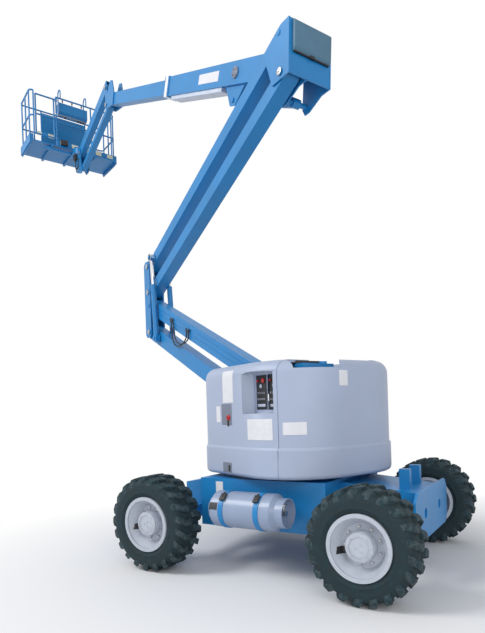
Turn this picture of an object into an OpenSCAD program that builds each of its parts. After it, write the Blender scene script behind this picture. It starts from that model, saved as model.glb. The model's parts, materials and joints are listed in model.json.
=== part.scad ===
// Articulating boom lift on four rough-terrain wheels, boom raised.
// Millimetres. Origin on the ground under the slew axis, +X to the steer end, +Z up.
// Boom pieces are drawn in the turntable's own frame: x ahead along the boom, y to its left.

/* [Wheels] */
// Outside radius of a tyre, to the tips of its lugs
tyre_r = 430; // [400:5:450]
// Width of a tyre
tyre_w = 310; // [280:5:330]
// Radius of the rim's seat for the tyre
rim_r = 228; // [215:1:240]
// Width of the rim between its lips
rim_w = 260; // [240:5:280]
// Distance between the axles
wheelbase = 2010; // [1980:10:2080]
// Distance between the left and right wheels' middle planes
track = 1980; // [1960:10:2040]
// Radius of a wheel spindle
spindle_r = 55; // [45:1:65]

/* [Chassis] */
// Length of the wide middle of the chassis
chassis_l = 1285; // [1200:5:1300]
// Distance from the slew axis to the front of the wide middle
chassis_front = 545; // [530:5:550]
// Width of the wide middle of the chassis
chassis_w = 1300; // [1200:10:1340]
// Height of the underside of the chassis
chassis_z = 360; // [340:5:380]
// Height of the top of the chassis
chassis_top = 800; // [780:5:810]
// Thickness of the chassis plates
chassis_t = 15; // [10:1:20]
// Width of the frames that carry the axles
end_frame_w = 660; // [560:10:720]
// Distance from the middle to the outside of the tie-down plate
end_plate_x = 1255; // [1240:5:1300]
// Width of the tie-down plate
end_plate_w = 1080; // [1000:10:1120]
// Radius of a tie-down hole
tie_hole_r = 42; // [30:1:45]
// Width and depth of an axle beam
axle_b = 120; // [100:5:130]
// Distance from the middle to a kingpin
kingpin_y = 760; // [750:5:770]
// Radius of the gas tank
tank_r = 155; // [140:5:160]
// Length of the gas tank's shell
tank_l = 670; // [600:10:700]

/* [Turntable] */
// Heading of the boom, turned from the steer end
slew_rest = 156; // [150:1:180]
// Radius of the slew ring
slew_r = 420; // [380:10:450]
// Height of the slew ring
slew_h = 48; // [40:2:50]
// Thickness of the turntable deck
deck_t = 50; // [40:5:60]
// Half width of the covers
cover_half_w = 750; // [720:5:770]
// Distance from the slew axis to the front of the covers
cover_front = 700; // [660:5:720]
// Distance from the slew axis to the back of the tail
cover_back = 800; // [780:5:820]
// Height of the covers' lower edge
cover_low = 830; // [825:5:840]
// Height of the covers' top
cover_top = 1840; // [1820:5:1860]
// Thickness of a cover's wall
cover_t = 25; // [15:1:30]
// Half width of the channel that the boom folds into
channel_half_w = 300; // [290:2:310]

/* [Riser] */
// Distance of the riser arms left of the boom's middle
arm_y = 165; // [163:1:167]
// Width of the riser arms
arm_w = 160; // [150:1:162]
// Depth of the lower riser links
lower_depth = 190; // [160:5:200]
// Depth of the upper riser links
upper_depth = 135; // [120:5:140]
// Wall of the boom tubes
tube_wall = 8; // [6:1:12]
// Radius of the boom pins
pin_r = 25; // [20:1:28]
// Radius of a riser cylinder's barrel
riser_barrel_r = 36; // [30:1:37]
// Radius of a riser cylinder's rod
riser_rod_r = 24; // [18:1:26]

/* [Primary boom] */
// Distance of the primary boom right of the boom's middle
prim_off = 85; // [84:1:90]
// Lift of the primary boom above level
prim_deg = 23.2; // [20:0.1:26]
// Depth of the base tube
base_depth = 240; // [220:5:250]
// Width of the base tube
base_w = 180; // [170:1:182]
// Length of the base tube from its pin
base_l = 3240; // [3100:10:3300]
// Depth of the extension tube
ext_depth = 190; // [170:5:200]
// Width of the extension tube
ext_w = 146; // [130:1:150]

/* [Jib] */
// Length of the jib between its pins
jib_l = 1760; // [1600:10:1850]
// Droop of the jib below level
jib_droop = 15.3; // [10:0.1:18]
// Width of the jib arm and link
jib_w = 104; // [90:1:106]
// Depth of the jib arm
jib_depth = 170; // [150:5:180]
// Depth of the levelling link
jib_link_depth = 80; // [70:2:84]

/* [Platform] */
// Width of the platform across the boom
plat_w = 1830; // [1780:10:1900]
// Depth of the platform along the boom
plat_d = 760; // [720:10:800]
// Height of the top rail above the platform's underside
rail_h = 1100; // [1070:5:1150]
// Radius of the rail tubes
rail_r = 16; // [14:1:18]
// Height of the toe boards above the floor
toe_h = 110; // [90:5:130]
// Turn of the platform on its mount
plat_yaw = 2.4; // [0:0.1:5]

/* [Hidden] */
$fn = 48;
// Fits and allowances
overrun = 2;
pin_clear = 0.3;
seat_gap = 0.3;
side_gap = 6;
plate_t = 20;
pin_head = 8;

// Paints
paint = "#2180c8";
shell_grey = "#a8b4cd";
rim_grey = "#c3c8d4";
rubber = "#20242a";
silver = "#c9ced6";
dark = "#30363c";

// Wheel details
hub_r = 110;
hub_out = 120;
hub_in = 40;
hub_bore_out = 70;
spindle_end_gap = 2;
disc_out = 30;
disc_t = 18;
rim_t = 14;
lip_t = 18;
lip_h = 16;
rim_out = 20;
dish_r = 160;
dish_out = 135;
bead_h = 40;
tread_edge_share = 0.8;
side_share = 0.97;
side_bulge_share = 0.5;

// Steering details
yoke_r = 60;
yoke_t = 22;
yoke_h = 190;
kingpin_r = 30;
knuckle_r = 58;
axle_z = tyre_r;
motor_r = 100;
motor_l = 250;
steer_bar_r = 28;
steer_bar_x = 110;

// Frames at the ends of the chassis
chassis_back = chassis_front - chassis_l;
end_frame_top = 770;
end_frame_tip = 700;
end_frame_low = axle_z + axle_b / 2;
end_plate_t = 20;
end_plate_low = 320;
end_plate_top = 725;
end_plate_cut = 70;
tie_y = 240;
tie_z = 530;
drive_end_x = 1180;
lug_l = 90;
lug_w = 60;
lug_h = 110;
lug_x = 1070;
lug_y = 160;

// Gas tank
tank_out = 200;
tank_y = chassis_w / 2 + tank_out;
tank_z = 570;
tank_mid_x = -90;
tank_cone = 45;
tank_end_share = 0.72;
collar_r_share = 0.74;
collar_l = 60;
collar_t = 8;
strap_w = 45;
strap_t = 6;
strap_xs_share = [-0.27, 0.25];
strap_foot_h = 180;

// Deck
deck_low = chassis_top + slew_h + seat_gap;
deck_top = deck_low + deck_t;
deck_front = 550;
deck_back = 700;
deck_half_w = 570;
deck_tail_half_w = 400;
deck_tail_l = 230;
bracket_foot_front = 330;
bracket_foot_back = 235;
bracket_r = 110;

// Covers
tail_round = 600;
front_round = 250;
edge_round = 110;
band_out = 14;
band_top = 1110;
band_round = 40;
seam_x = -520;
seam_gap = 6;
notch_y0 = 150;
notch_y1 = 560;
notch_z = 1758;
hinge_y = 325;
hinge_z = 1786;
hinge_r = 12;
knuckle_tube_r = 26;
knuckle_tube_l = 180;
hinge_xs = [-250, 350];
hinge_post_xs = [-400, 500];
hinge_post_b = 30;
pocket_x0 = -490;
pocket_x1 = -130;
pocket_z0 = 1390;
pocket_z1 = 1740;
pocket_y = 620;
pocket_t = 12;
panel_x1 = -330;
panel_gap = 8;
panel_d = 90;
panel_z0 = 1420;
panel_z1 = 1725;
panel_post_b = 50;

// Masses inside the covers
weight_top = 1410;
weight_front = -450;
weight_mid_x = -680;
weight_mid_half_w = 400;
weight_back_half_w = 130;
weight_half_w = 500;
hyd_x0 = -650;
hyd_x1 = -530;
hyd_y0 = 130;
hyd_y1 = 470;
hyd_top = 1800;
hyd_cap_r = 35;
hyd_cap_h = 25;
engine_x0 = -300;
engine_l = 700;
engine_y = -580;
engine_w = 230;
engine_h = 480;

// Riser pins, in the turntable's side view as [ahead, up]
root_x = -200;
elbow_x = 2980;
a1 = [root_x, 1140];
a2 = [root_x, 1510];
b1 = [elbow_x, 2570];
b2 = b1 + a2 - a1;
c1 = [elbow_x, 3130];
c2 = [elbow_x, 3490];
d1 = [root_x, 4515];
d2 = d1 + c2 - c1;
elbow_back = 60;
elbow_front = 125;
elbow_web_t = 18;
elbow_end = 75;
elbow_cut = 45;

// Riser cylinders
lift_low_back = 300;
lift_high_back = 200;
lift_pin_r = 20;
lift_play = 20;
lift_eye_r = 55;
lift_barrel_share = 0.66;
lift_inner_share = 0.3;
lift_eye_w = 60;
lift_pin_w = arm_w + 4 * (side_gap + riser_barrel_r);

// Upper pivot
pivot_half_w = 263;
pivot_right_w = 243;
pivot_t = 14;
pivot_web_y = 45;
pivot_back = 126;
pivot_back_top = 158;
pivot_front_low = 130;
pivot_slope_front = 245;
pivot_low = 65;
pivot_high = 55;
pivot_slope_high = 85;
lobe_r = 62;
e_pin = [20, 4440];
neck_share = 0.9;
cap_low = 4640;
cap_high = 4920;
cap_deep = 42;
cap_left_w = 225;
cap_right_w = 215;
cap_round = 28;

// Primary boom
prim_y = -prim_off;
prim_rise = 30;
prim_pin = [root_x, (d1[1] + d2[1]) / 2 + prim_rise];
collar_band_l = 150;
collar_grow = 8;
ext_in = 1050;
ext_end = 5680;
f_along = 1250;
f_below = 270;
cheek_t = 14;
cheek_gap = 100;
cheek_half_l = 110;
cheek_low = 60;
prim_barrel_r = 45;
prim_barrel_l = 820;
prim_rod_r = 28;
prim_rod_l = 740;
prim_eye_r = 40;
prim_eye_w = 88;
prim_bore_from = 220;
tray_from = 1550;
tray_to = 2990;
tray_h = 45;
tray_w = 150;

// Jib
j_pin = [5275, 7290];
k_pin = [5200, 6940];
j_end = j_pin + jib_l * [cos(jib_droop), -sin(jib_droop)];
k_end = j_end + k_pin - j_pin;
jib_drop = 45;
jib_back = 40;
jib_boss_r = 58;
jib_wall = 6;
ear_t = 18;
ear_from = 5480;
ear_top_from = 5630;
ear_top_l = 100;
ear_top = 285;
ear_tip = 60;
knuckle_plate_t = 11;
knuckle_low_r = 60;
knuckle_high_r = 72;
mount_plate_t = 12;
mount_end_r = 70;
mount_web_t = 20;

// Platform, in its own frame: x away from the turning post, y to the left
mount_reach = 279;
rot_x = j_end[0] + mount_reach;
post_r = 65;
post_drop = 266;
post_rise = 164;
post_low = j_end[1] - post_drop;
post_top = j_end[1] + post_rise;
post_arm_h = 50;
plat_low = post_top + post_arm_h;
rib_h = 40;
rib_b = 40;
floor_t = 20;
near_x = 190;
far_x = near_x + plat_d;
mid_x = (near_x + far_x) / 2;
floor_top = plat_low + rib_h + floor_t;
rail_round = 70;
rail_post_r = 15;
toe_t = 12;
gate_y = 365;
gate_gap = 8;
gate_lift = 25;
gate_low = floor_top + toe_h + gate_lift;
gate_sleeve_r = 24;
gate_sleeve_h = 60;
box_half_w = 300;
box_h = 230;
box_d = 150;
box_drop = 90;
box_cut = 45;
panel_half_w = 480;
panel_t = 6;
panel_drop = 48;
hoop_r = 12;
hoop_h = 210;
hoop_d = 160;
hoop_y = 270;

// Helpers
function slope(p, q) = atan2(q[1] - p[1], q[0] - p[0]);
function reach(p, q) = norm(q - p);
function prim_point(along, above) = prim_pin
  + along * [cos(prim_deg), sin(prim_deg)] + above * [-sin(prim_deg), cos(prim_deg)];

module turned() rotate([0, 0, slew_rest]) children();

// A side outline of [ahead, up] points, made a plate
module flat(outline, y_mid, width)
  translate([0, y_mid + width / 2, 0]) rotate([90, 0, 0]) linear_extrude(width) polygon(outline);

// A round bar across the boom at p
module cross_bar(p, r, y_mid, width)
  translate([p[0], y_mid + width / 2, p[1]]) rotate([90, 0, 0]) cylinder(r = r, h = width);

// Children drawn along +X are laid from p towards q
module along(p, q) translate([p[0], 0, p[1]]) rotate([0, -slope(p, q), 0]) children();

// A bar along +X
module bar_x(x0, x1, r, y = 0, z = 0) translate([x0, y, z]) rotate([0, 90, 0]) cylinder(r = r, h = x1 - x0);

// A bar along +Y
module bar_y(y0, y1, r, x = 0, z = 0) translate([x, y0, z]) rotate([-90, 0, 0]) cylinder(r = r, h = y1 - y0);

module box(x, y, z) translate([x[0], y[0], z[0]]) cube([x[1] - x[0], y[1] - y[0], z[1] - z[0]]);

// A square tube along +X about y_mid, its section centred at height zero
module tube_box(x0, x1, depth, width, wall, y_mid)
  difference() {
    box([x0, x1], [y_mid - width / 2, y_mid + width / 2], [-depth / 2, depth / 2]);
    box([x0 - overrun, x1 + overrun], [y_mid - width / 2 + wall, y_mid + width / 2 - wall],
      [-depth / 2 + wall, depth / 2 - wall]);
  }

// A riser link between two pins
module link_beam(p, q, depth)
  along(p, q) difference() {
    union() {
      tube_box(0, reach(p, q), depth, arm_w, tube_wall, arm_y);
      for (x = [0, reach(p, q)]) cross_bar([x, 0], depth / 2, arm_y, arm_w);
    }
    for (x = [0, reach(p, q)]) cross_bar([x, 0], pin_r + pin_clear, arm_y, arm_w + 2 * overrun);
  }

// A row of pins through two cheek plates about the riser arms
module arm_pins(pins)
  for (p = pins) cross_bar(p, pin_r, arm_y, arm_w + 2 * (side_gap + plate_t + pin_head));

module arm_cheeks(outline)
  for (s = [-1, 1]) flat(outline, arm_y + s * (arm_w / 2 + side_gap + plate_t / 2), plate_t);

// Chassis

module chassis_frame() color(paint)
  difference() {
    box([chassis_back, chassis_front], [-chassis_w / 2, chassis_w / 2], [chassis_z, chassis_top]);
    box([chassis_back + chassis_t, chassis_front - chassis_t],
      [-chassis_w / 2 + chassis_t, chassis_w / 2 - chassis_t], [chassis_z - overrun, chassis_top - chassis_t]);
  }

// A frame between the chassis at x0 and its tip at x1, its top sloping to the tip
module end_frame(x0, x1)
  flat([[x0, end_frame_low], [x1, end_frame_low], [x1, end_frame_tip], [x0, end_frame_top]], 0, end_frame_w);

module steer_end_frame() color(paint) {
  end_frame(chassis_front, end_plate_x - end_plate_t);
  for (s = [-1, 1])
    box([lug_x - lug_l / 2, lug_x + lug_l / 2], [s * lug_y - lug_w / 2, s * lug_y + lug_w / 2],
      [end_frame_tip - overrun, end_frame_top + lug_h]);
}

module tie_down_plate() color(paint) difference() {
  half = end_plate_w / 2;
  translate([end_plate_x - end_plate_t, 0, 0]) rotate([90, 0, 90]) linear_extrude(end_plate_t) polygon([
    [-half, end_plate_low + end_plate_cut], [-half + end_plate_cut, end_plate_low],
    [half - end_plate_cut, end_plate_low], [half, end_plate_low + end_plate_cut],
    [half, end_plate_top - end_plate_cut], [half - end_plate_cut, end_plate_top],
    [-half + end_plate_cut, end_plate_top], [-half, end_plate_top - end_plate_cut]
  ]);
  for (s = [-1, 1])
    bar_x(end_plate_x - end_plate_t - overrun, end_plate_x + overrun, tie_hole_r, s * tie_y, tie_z);
}

module drive_end_frame() color(paint) end_frame(chassis_back, -drive_end_x);

module steer_axle() color(paint) translate([wheelbase / 2, 0, axle_z]) {
  yoke_in = kingpin_y - yoke_r - side_gap;
  yoke_root = yoke_in - plate_t;
  box([-axle_b / 2, axle_b / 2], [-yoke_in, yoke_in], [-axle_b / 2, axle_b / 2]);
  for (s = [-1, 1]) mirror([0, s < 0 ? 1 : 0, 0]) {
    box([-axle_b / 2, axle_b / 2], [yoke_root, yoke_in], [-yoke_h / 2, yoke_h / 2]);
    for (t = [-1, 1]) {
      zc = t * (yoke_h / 2 + yoke_t / 2) - yoke_t / 2;
      translate([0, kingpin_y, zc]) cylinder(r = yoke_r, h = yoke_t);
      box([-yoke_r, yoke_r], [yoke_root, kingpin_y], [zc, zc + yoke_t]);
    }
    translate([0, kingpin_y, -yoke_h / 2 - yoke_t]) cylinder(r = kingpin_r, h = yoke_h + 2 * yoke_t);
  }
  bar_y(-yoke_in / 2, yoke_in / 2, steer_bar_r, -steer_bar_x, 0);
  for (s = [-1, 1])
    box([-steer_bar_x, 0], [s * yoke_in / 2 - plate_t, s * yoke_in / 2], [-steer_bar_r, steer_bar_r]);
}

// Spindle from the kingpin or the axle out into the hub
module spindle(from, s)
  bar_y(min(s * from, s * spindle_end()), max(s * from, s * spindle_end()), spindle_r);
function spindle_end() = track / 2 + hub_bore_out - spindle_end_gap;

module knuckle(s) color(dark) translate([wheelbase / 2, 0, axle_z])
  difference() {
    union() {
      translate([0, s * kingpin_y, -yoke_h / 2 + seat_gap]) cylinder(r = knuckle_r, h = yoke_h - 2 * seat_gap);
      spindle(kingpin_y, s);
    }
    translate([0, s * kingpin_y, -yoke_h]) cylinder(r = kingpin_r + pin_clear, h = 2 * yoke_h);
  }
module knuckle_left() knuckle(1);
module knuckle_right() knuckle(-1);

module drive_axle() color(paint) translate([-wheelbase / 2, 0, axle_z]) {
  motor_end = track / 2 - hub_in - side_gap;
  box([-axle_b / 2, axle_b / 2], [-motor_end + motor_l, motor_end - motor_l], [-axle_b / 2, axle_b / 2]);
  for (s = [-1, 1]) {
    bar_y(min(s * (motor_end - motor_l), s * motor_end), max(s * (motor_end - motor_l), s * motor_end), motor_r);
    spindle(motor_end - motor_l, s);
  }
}

// Rim rings as [inner radius, outer radius, inner face, outer face], outwards from the tyre's middle
rim_rings = [
  [rim_r - rim_t, rim_r, -rim_w / 2, rim_w / 2 + rim_out],
  [rim_r - rim_t, rim_r + lip_h, -rim_w / 2 - lip_t, -rim_w / 2],
  [rim_r - rim_t, rim_r + lip_h, rim_w / 2, rim_w / 2 + rim_out],
  [0, rim_r - rim_t, disc_out, disc_out + disc_t],
  [0, hub_r, -hub_in, hub_out]
];

module at_wheel(sx, sy)
  translate([sx * wheelbase / 2, sy * track / 2, axle_z]) rotate([-sy * 90, 0, 0]) children();

module wheel(sx, sy) color(rim_grey) at_wheel(sx, sy)
  difference() {
    union() {
      for (g = rim_rings) translate([0, 0, g[2]]) difference() {
        cylinder(r = g[1], h = g[3] - g[2]);
        if (g[0] > 0) translate([0, 0, -overrun]) cylinder(r = g[0], h = g[3] - g[2] + 2 * overrun);
      }
      rotate_extrude() polygon([
        [dish_r, disc_out + disc_t - overrun], [rim_r - rim_t + overrun, disc_out + disc_t - overrun],
        [rim_r - rim_t + overrun, dish_out]
      ]);
    }
    translate([0, 0, -hub_in - overrun]) cylinder(r = spindle_r + pin_clear, h = hub_in + hub_bore_out + overrun);
  }
module wheel_front_left() wheel(1, 1);
module wheel_front_right() wheel(1, -1);
module wheel_rear_left() wheel(-1, 1);
module wheel_rear_right() wheel(-1, -1);

module tyre(sx, sy) color(rubber) at_wheel(sx, sy) {
  wall_h = tyre_r - rim_r;
  half = [
    [rim_r, rim_w / 2], [rim_r + bead_h, rim_w / 2], [rim_r + side_bulge_share * wall_h, tyre_w / 2],
    [tyre_r - bead_h, side_share * tyre_w / 2], [tyre_r, tread_edge_share * tyre_w / 2]
  ];
  rotate_extrude() polygon(concat(half, [for (i = [len(half) - 1:-1:0]) [half[i][0], -half[i][1]]]));
}
module tyre_front_left() tyre(1, 1);
module tyre_front_right() tyre(1, -1);
module tyre_rear_left() tyre(-1, 1);
module tyre_rear_right() tyre(-1, -1);

module at_tank() translate([tank_mid_x, -tank_y, tank_z]) rotate([0, 90, 0]) children();

module gas_tank() color(rim_grey) at_tank() {
  translate([0, 0, -tank_l / 2 + tank_cone]) cylinder(r = tank_r, h = tank_l - 2 * tank_cone);
  for (s = [-1, 1]) translate([0, 0, s * (tank_l / 2 - tank_cone)]) mirror([0, 0, s < 0 ? 1 : 0])
    cylinder(r1 = tank_r, r2 = tank_end_share * tank_r, h = tank_cone);
  translate([0, 0, tank_l / 2 - tank_cone]) difference() {
    cylinder(r = collar_r_share * tank_r + collar_t, h = tank_cone + collar_l);
    translate([0, 0, tank_cone]) cylinder(r = collar_r_share * tank_r, h = collar_l + overrun);
  }
}

module tank_straps() color(paint)
  difference() {
    for (share = strap_xs_share) {
      at_tank() translate([0, 0, share * tank_l - strap_w / 2]) cylinder(r = tank_r + strap_t, h = strap_w);
      box([tank_mid_x + share * tank_l - strap_w / 2, tank_mid_x + share * tank_l + strap_w / 2],
        [-tank_y, -chassis_w / 2], [tank_z - strap_foot_h / 2, tank_z + strap_foot_h / 2]);
    }
    at_tank() translate([0, 0, -tank_l]) cylinder(r = tank_r + seat_gap, h = 2 * tank_l);
  }

module slew_ring() color(dark) translate([0, 0, chassis_top]) cylinder(r = slew_r, h = slew_h);

// Turntable

module turntable_deck() color(paint) turned() {
  translate([0, 0, deck_low]) linear_extrude(deck_t) polygon([
    [deck_front, deck_half_w], [-deck_back + deck_tail_l, deck_half_w], [-deck_back, deck_tail_half_w],
    [-deck_back, -deck_tail_half_w], [-deck_back + deck_tail_l, -deck_half_w], [deck_front, -deck_half_w]
  ]);
}

module riser_bracket() color(paint) turned() {
  arm_cheeks([
    [root_x - bracket_foot_back, deck_top], [root_x + bracket_foot_front, deck_top],
    [root_x + bracket_r, a2[1]], [root_x + bracket_r / 2, a2[1] + bracket_r],
    [root_x - bracket_r / 2, a2[1] + bracket_r], [root_x - bracket_r, a2[1]]
  ]);
  arm_pins([a1, a2]);
}

module cover_hinges() color(paint) turned() for (s = [-1, 1]) {
  for (x = hinge_post_xs) box([x - hinge_post_b / 2, x + hinge_post_b / 2],
    [s * hinge_y - hinge_post_b / 2, s * hinge_y + hinge_post_b / 2], [deck_top, hinge_z + hinge_r]);
  bar_x(hinge_post_xs[0], hinge_post_xs[1], hinge_r, s * hinge_y, hinge_z);
}

module counterweight() color(dark) turned() translate([0, 0, deck_top]) linear_extrude(weight_top - deck_top)
  polygon([
    [weight_front, weight_half_w], [weight_mid_x, weight_mid_half_w],
    [-cover_back + cover_t + seat_gap, weight_back_half_w], [-cover_back + cover_t + seat_gap, -weight_back_half_w],
    [weight_mid_x, -weight_mid_half_w], [weight_front, -weight_half_w]
  ]);

module engine_block() color(dark) turned()
  box([engine_x0, engine_x0 + engine_l], [engine_y, engine_y + engine_w], [deck_top, deck_top + engine_h]);

module hydraulic_tank() color(paint) turned() {
  box([hyd_x0, hyd_x1], [hyd_y0, hyd_y1], [weight_top, hyd_top]);
  translate([(hyd_x0 + hyd_x1) / 2, hyd_y0 + 2 * hyd_cap_r, hyd_top - overrun])
    cylinder(r = hyd_cap_r, h = hyd_cap_h);
}

module ground_controls() color(dark) turned() {
  face_y = pocket_y - pocket_t - panel_gap;
  box([pocket_x0, panel_x1], [face_y - panel_d, face_y], [panel_z0, panel_z1]);
  post_x = (pocket_x0 + panel_x1) / 2;
  box([post_x - panel_post_b / 2, post_x + panel_post_b / 2],
    [face_y - panel_d, face_y - panel_d + panel_post_b], [deck_top, panel_z0]);
}

// One corner of the covers' form: a disc with rounded edges
module cover_puck(x, y, r, low, high, edge)
  translate([x, y, 0]) for (z = [low + edge, high - edge]) translate([0, 0, z]) {
    rotate_extrude($fn = 32) translate([r - edge, 0]) circle(r = edge, $fn = 24);
    cylinder(r = r - edge, h = 2 * edge, center = true, $fn = 32);
  }

// The covers' whole outline, shrunk on every side
module cover_form(shrink, low, high, edge)
  hull() for (s = [-1, 1]) {
    cover_puck(-cover_back + tail_round, s * (cover_half_w - tail_round), tail_round - shrink, low, high, edge);
    cover_puck(cover_front - front_round, s * (cover_half_w - front_round), front_round - shrink, low, high, edge);
  }

// The covers in one piece, hollow and with the band round their foot
module cover_body()
  difference() {
    union() {
      cover_form(0, cover_low, cover_top, edge_round);
      cover_form(-band_out, cover_low, band_top, band_round);
    }
    cover_form(cover_t, cover_low - cover_t, cover_top - cover_t, edge_round - cover_t);
  }

// A side cover, from the seam to the front and from the boom's channel outwards
module cover_side(s)
  intersection() {
    cover_body();
    mirror([0, s < 0 ? 1 : 0, 0])
      box([seam_x, 2 * cover_front], [channel_half_w, 2 * cover_half_w], [0, 2 * cover_top]);
  }

// Sleeves that turn on the cover's hinge rod
module cover_sleeves(s)
  for (x = hinge_xs) difference() {
    union() {
      bar_x(x - knuckle_tube_l / 2, x + knuckle_tube_l / 2, knuckle_tube_r, s * hinge_y, hinge_z);
      box([x - knuckle_tube_l / 2, x + knuckle_tube_l / 2],
        [s * hinge_y - knuckle_tube_r, s * hinge_y + knuckle_tube_r], [hinge_z, cover_top - cover_t + overrun]);
    }
    bar_x(x - knuckle_tube_l, x + knuckle_tube_l, hinge_r + pin_clear, s * hinge_y, hinge_z);
  }

module cover_left() color(shell_grey) turned() {
  pocket_end = 2 * cover_half_w;
  difference() {
    union() {
      cover_side(1);
      intersection() {
        cover_form(cover_t / 2, cover_low, cover_top, edge_round);
        box([pocket_x0 - pocket_t, pocket_x1 + pocket_t], [pocket_y - pocket_t, pocket_end],
          [pocket_z0 - pocket_t, pocket_z1 + pocket_t]);
      }
    }
    box([pocket_x0, pocket_x1], [pocket_y, pocket_end], [pocket_z0, pocket_z1]);
    box([pocket_x0, panel_x1], [pocket_y - 2 * pocket_t, pocket_end], [panel_z0, panel_z1]);
  }
  cover_sleeves(1);
}

module cover_right() color(shell_grey) turned() {
  cover_side(-1);
  cover_sleeves(-1);
}

module cover_tail() color(shell_grey) turned()
  difference() {
    cover_body();
    box([seam_x - seam_gap, 2 * cover_front], [-2 * cover_half_w, 2 * cover_half_w], [0, 2 * cover_top]);
    box([-2 * cover_back, 0], [notch_y0, notch_y1], [notch_z, 2 * cover_top]);
    box([seam_x - 2 * edge_round, 0], [-channel_half_w, channel_half_w], [notch_z, 2 * cover_top]);
  }

// Riser

module lower_link_bottom() color(paint) turned() {
  link_beam(a1, b1, lower_depth);
  cross_bar(lift_low(), lift_pin_r, arm_y, lift_pin_w);
}
module lower_link_top() color(paint) turned() link_beam(a2, b2, lower_depth);
module upper_link_bottom() color(paint) turned() link_beam(c1, d1, upper_depth);
module upper_link_top() color(paint) turned() {
  link_beam(c2, d2, upper_depth);
  cross_bar(lift_high(), lift_pin_r, arm_y, lift_pin_w);
}

// Eyes of the riser cylinders
function lift_low() = b1 + lift_low_back / reach(a1, b1) * (a1 - b1);
function lift_high() = c2 + lift_high_back / reach(c2, d2) * (d2 - c2);

module elbow() color(paint) turned() {
  x0 = elbow_x - elbow_back;
  x1 = elbow_x + elbow_front;
  z0 = b1[1] - elbow_end;
  z1 = c2[1] + elbow_end;
  arm_cheeks([
    [x0 + elbow_cut, z0], [x1 - elbow_cut, z0], [x1, z0 + elbow_cut], [x1, z1 - elbow_cut],
    [x1 - elbow_cut, z1], [x0 + elbow_cut, z1], [x0, z1 - elbow_cut], [x0, z0 + elbow_cut]
  ]);
  box([x1 - elbow_web_t, x1], [arm_y - arm_w / 2 - side_gap - overrun, arm_y + arm_w / 2 + side_gap + overrun],
    [z0 + elbow_cut, z1 - elbow_cut]);
  arm_pins([b1, b2, c1, c2]);
}

module lift_places()
  for (s = [-1, 1]) translate([0, arm_y + s * (arm_w / 2 + side_gap + riser_barrel_r), 0])
    along(lift_low(), lift_high()) children();

module riser_barrels() color(paint) turned() lift_places() {
  full = reach(lift_low(), lift_high());
  difference() {
    union() {
      cross_bar([0, 0], lift_eye_r, 0, lift_eye_w);
      bar_x(0, lift_barrel_share * full, riser_barrel_r);
    }
    cross_bar([0, 0], lift_pin_r + pin_clear, 0, 2 * lift_eye_w);
    bar_x(lift_eye_r + side_gap, full, riser_rod_r + pin_clear);
  }
}

module riser_rods() color(silver) turned() lift_places() {
  full = reach(lift_low(), lift_high());
  difference() {
    union() {
      bar_x(lift_inner_share * full, full - lift_play, riser_rod_r);
      cross_bar([full, 0], lift_eye_r, 0, lift_eye_w);
    }
    cross_bar([full, 0], lift_pin_r + lift_play, 0, 2 * lift_eye_w);
  }
}

// The upper pivot's lower and upper edge, and its back at any height
pivot_z0 = d1[1] - pivot_low;
pivot_z1 = d2[1] + pivot_high;
function pivot_back_x(z) = root_x - pivot_back
  - (pivot_back_top - pivot_back) * (z - pivot_z0) / (pivot_z1 - pivot_z0);

function pivot_back_point(z, deep) = [pivot_back_x(z) + deep, z];

// A plate between two faces across the boom
module plate_between(outline, y0, y1) flat(outline, (y0 + y1) / 2, y1 - y0);

module upper_pivot() color(paint) turned() {
  back_low = pivot_back_point(pivot_z0, 0);
  back_high = pivot_back_point(pivot_z1, 0);
  upper_edge = [
    [root_x + pivot_slope_front, pivot_z1 - pivot_slope_high - pivot_high], [back_high[0] + pivot_back, pivot_z1]
  ];
  lobe_edge = concat([
    [root_x, pivot_z0], [e_pin[0] - lobe_r / 2, e_pin[1] - lobe_r],
    [e_pin[0] + lobe_r / 2, e_pin[1] - lobe_r], [e_pin[0] + lobe_r, e_pin[1]]
  ], upper_edge);
  face_low = pivot_z0 + overrun;
  face_high = pivot_z1 - overrun;
  web_back = overrun + pivot_t / 2;
  plate_between(concat([back_low, [root_x + pivot_front_low, pivot_z0]], upper_edge, [back_high]),
    pivot_half_w - pivot_t, pivot_half_w);
  plate_between(concat([pivot_back_point(pivot_z0, web_back)], lobe_edge, [pivot_back_point(pivot_z1, web_back)]),
    pivot_web_y - pivot_t / 2, pivot_web_y + pivot_t / 2);
  plate_between(concat([back_low], lobe_edge, [back_high]), -pivot_right_w, -pivot_right_w + pivot_t);
  plate_between([
    pivot_back_point(face_low, overrun), pivot_back_point(face_low, overrun + pivot_t),
    pivot_back_point(face_high, overrun + pivot_t), pivot_back_point(face_high, overrun)
  ], -pivot_right_w + pivot_t / 2, pivot_half_w - pivot_t / 2);
  for (p = [d1, d2]) bar_y(pivot_web_y, pivot_half_w + pin_head, pin_r, p[0], p[1]);
  for (p = [prim_pin, e_pin]) bar_y(-pivot_right_w - pin_head, pivot_web_y, pin_r, p[0], p[1]);
}

module upper_pivot_cap() color(dark) turned() {
  x0 = pivot_back_x(cap_low) + overrun - seat_gap;
  x1 = pivot_back_x(cap_high) + overrun - seat_gap;
  plate_between([
    [x0, cap_low], [x0 - cap_deep + cap_round, cap_low], [x0 - cap_deep, cap_low + cap_round],
    [x1 - cap_deep, cap_high - cap_round], [x1 - cap_deep + cap_round, cap_high], [x1, cap_high]
  ], -cap_right_w, cap_left_w);
}

// Primary boom

module on_prim() translate([0, prim_y, 0]) along(prim_pin, prim_point(base_l, 0)) children();

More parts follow.
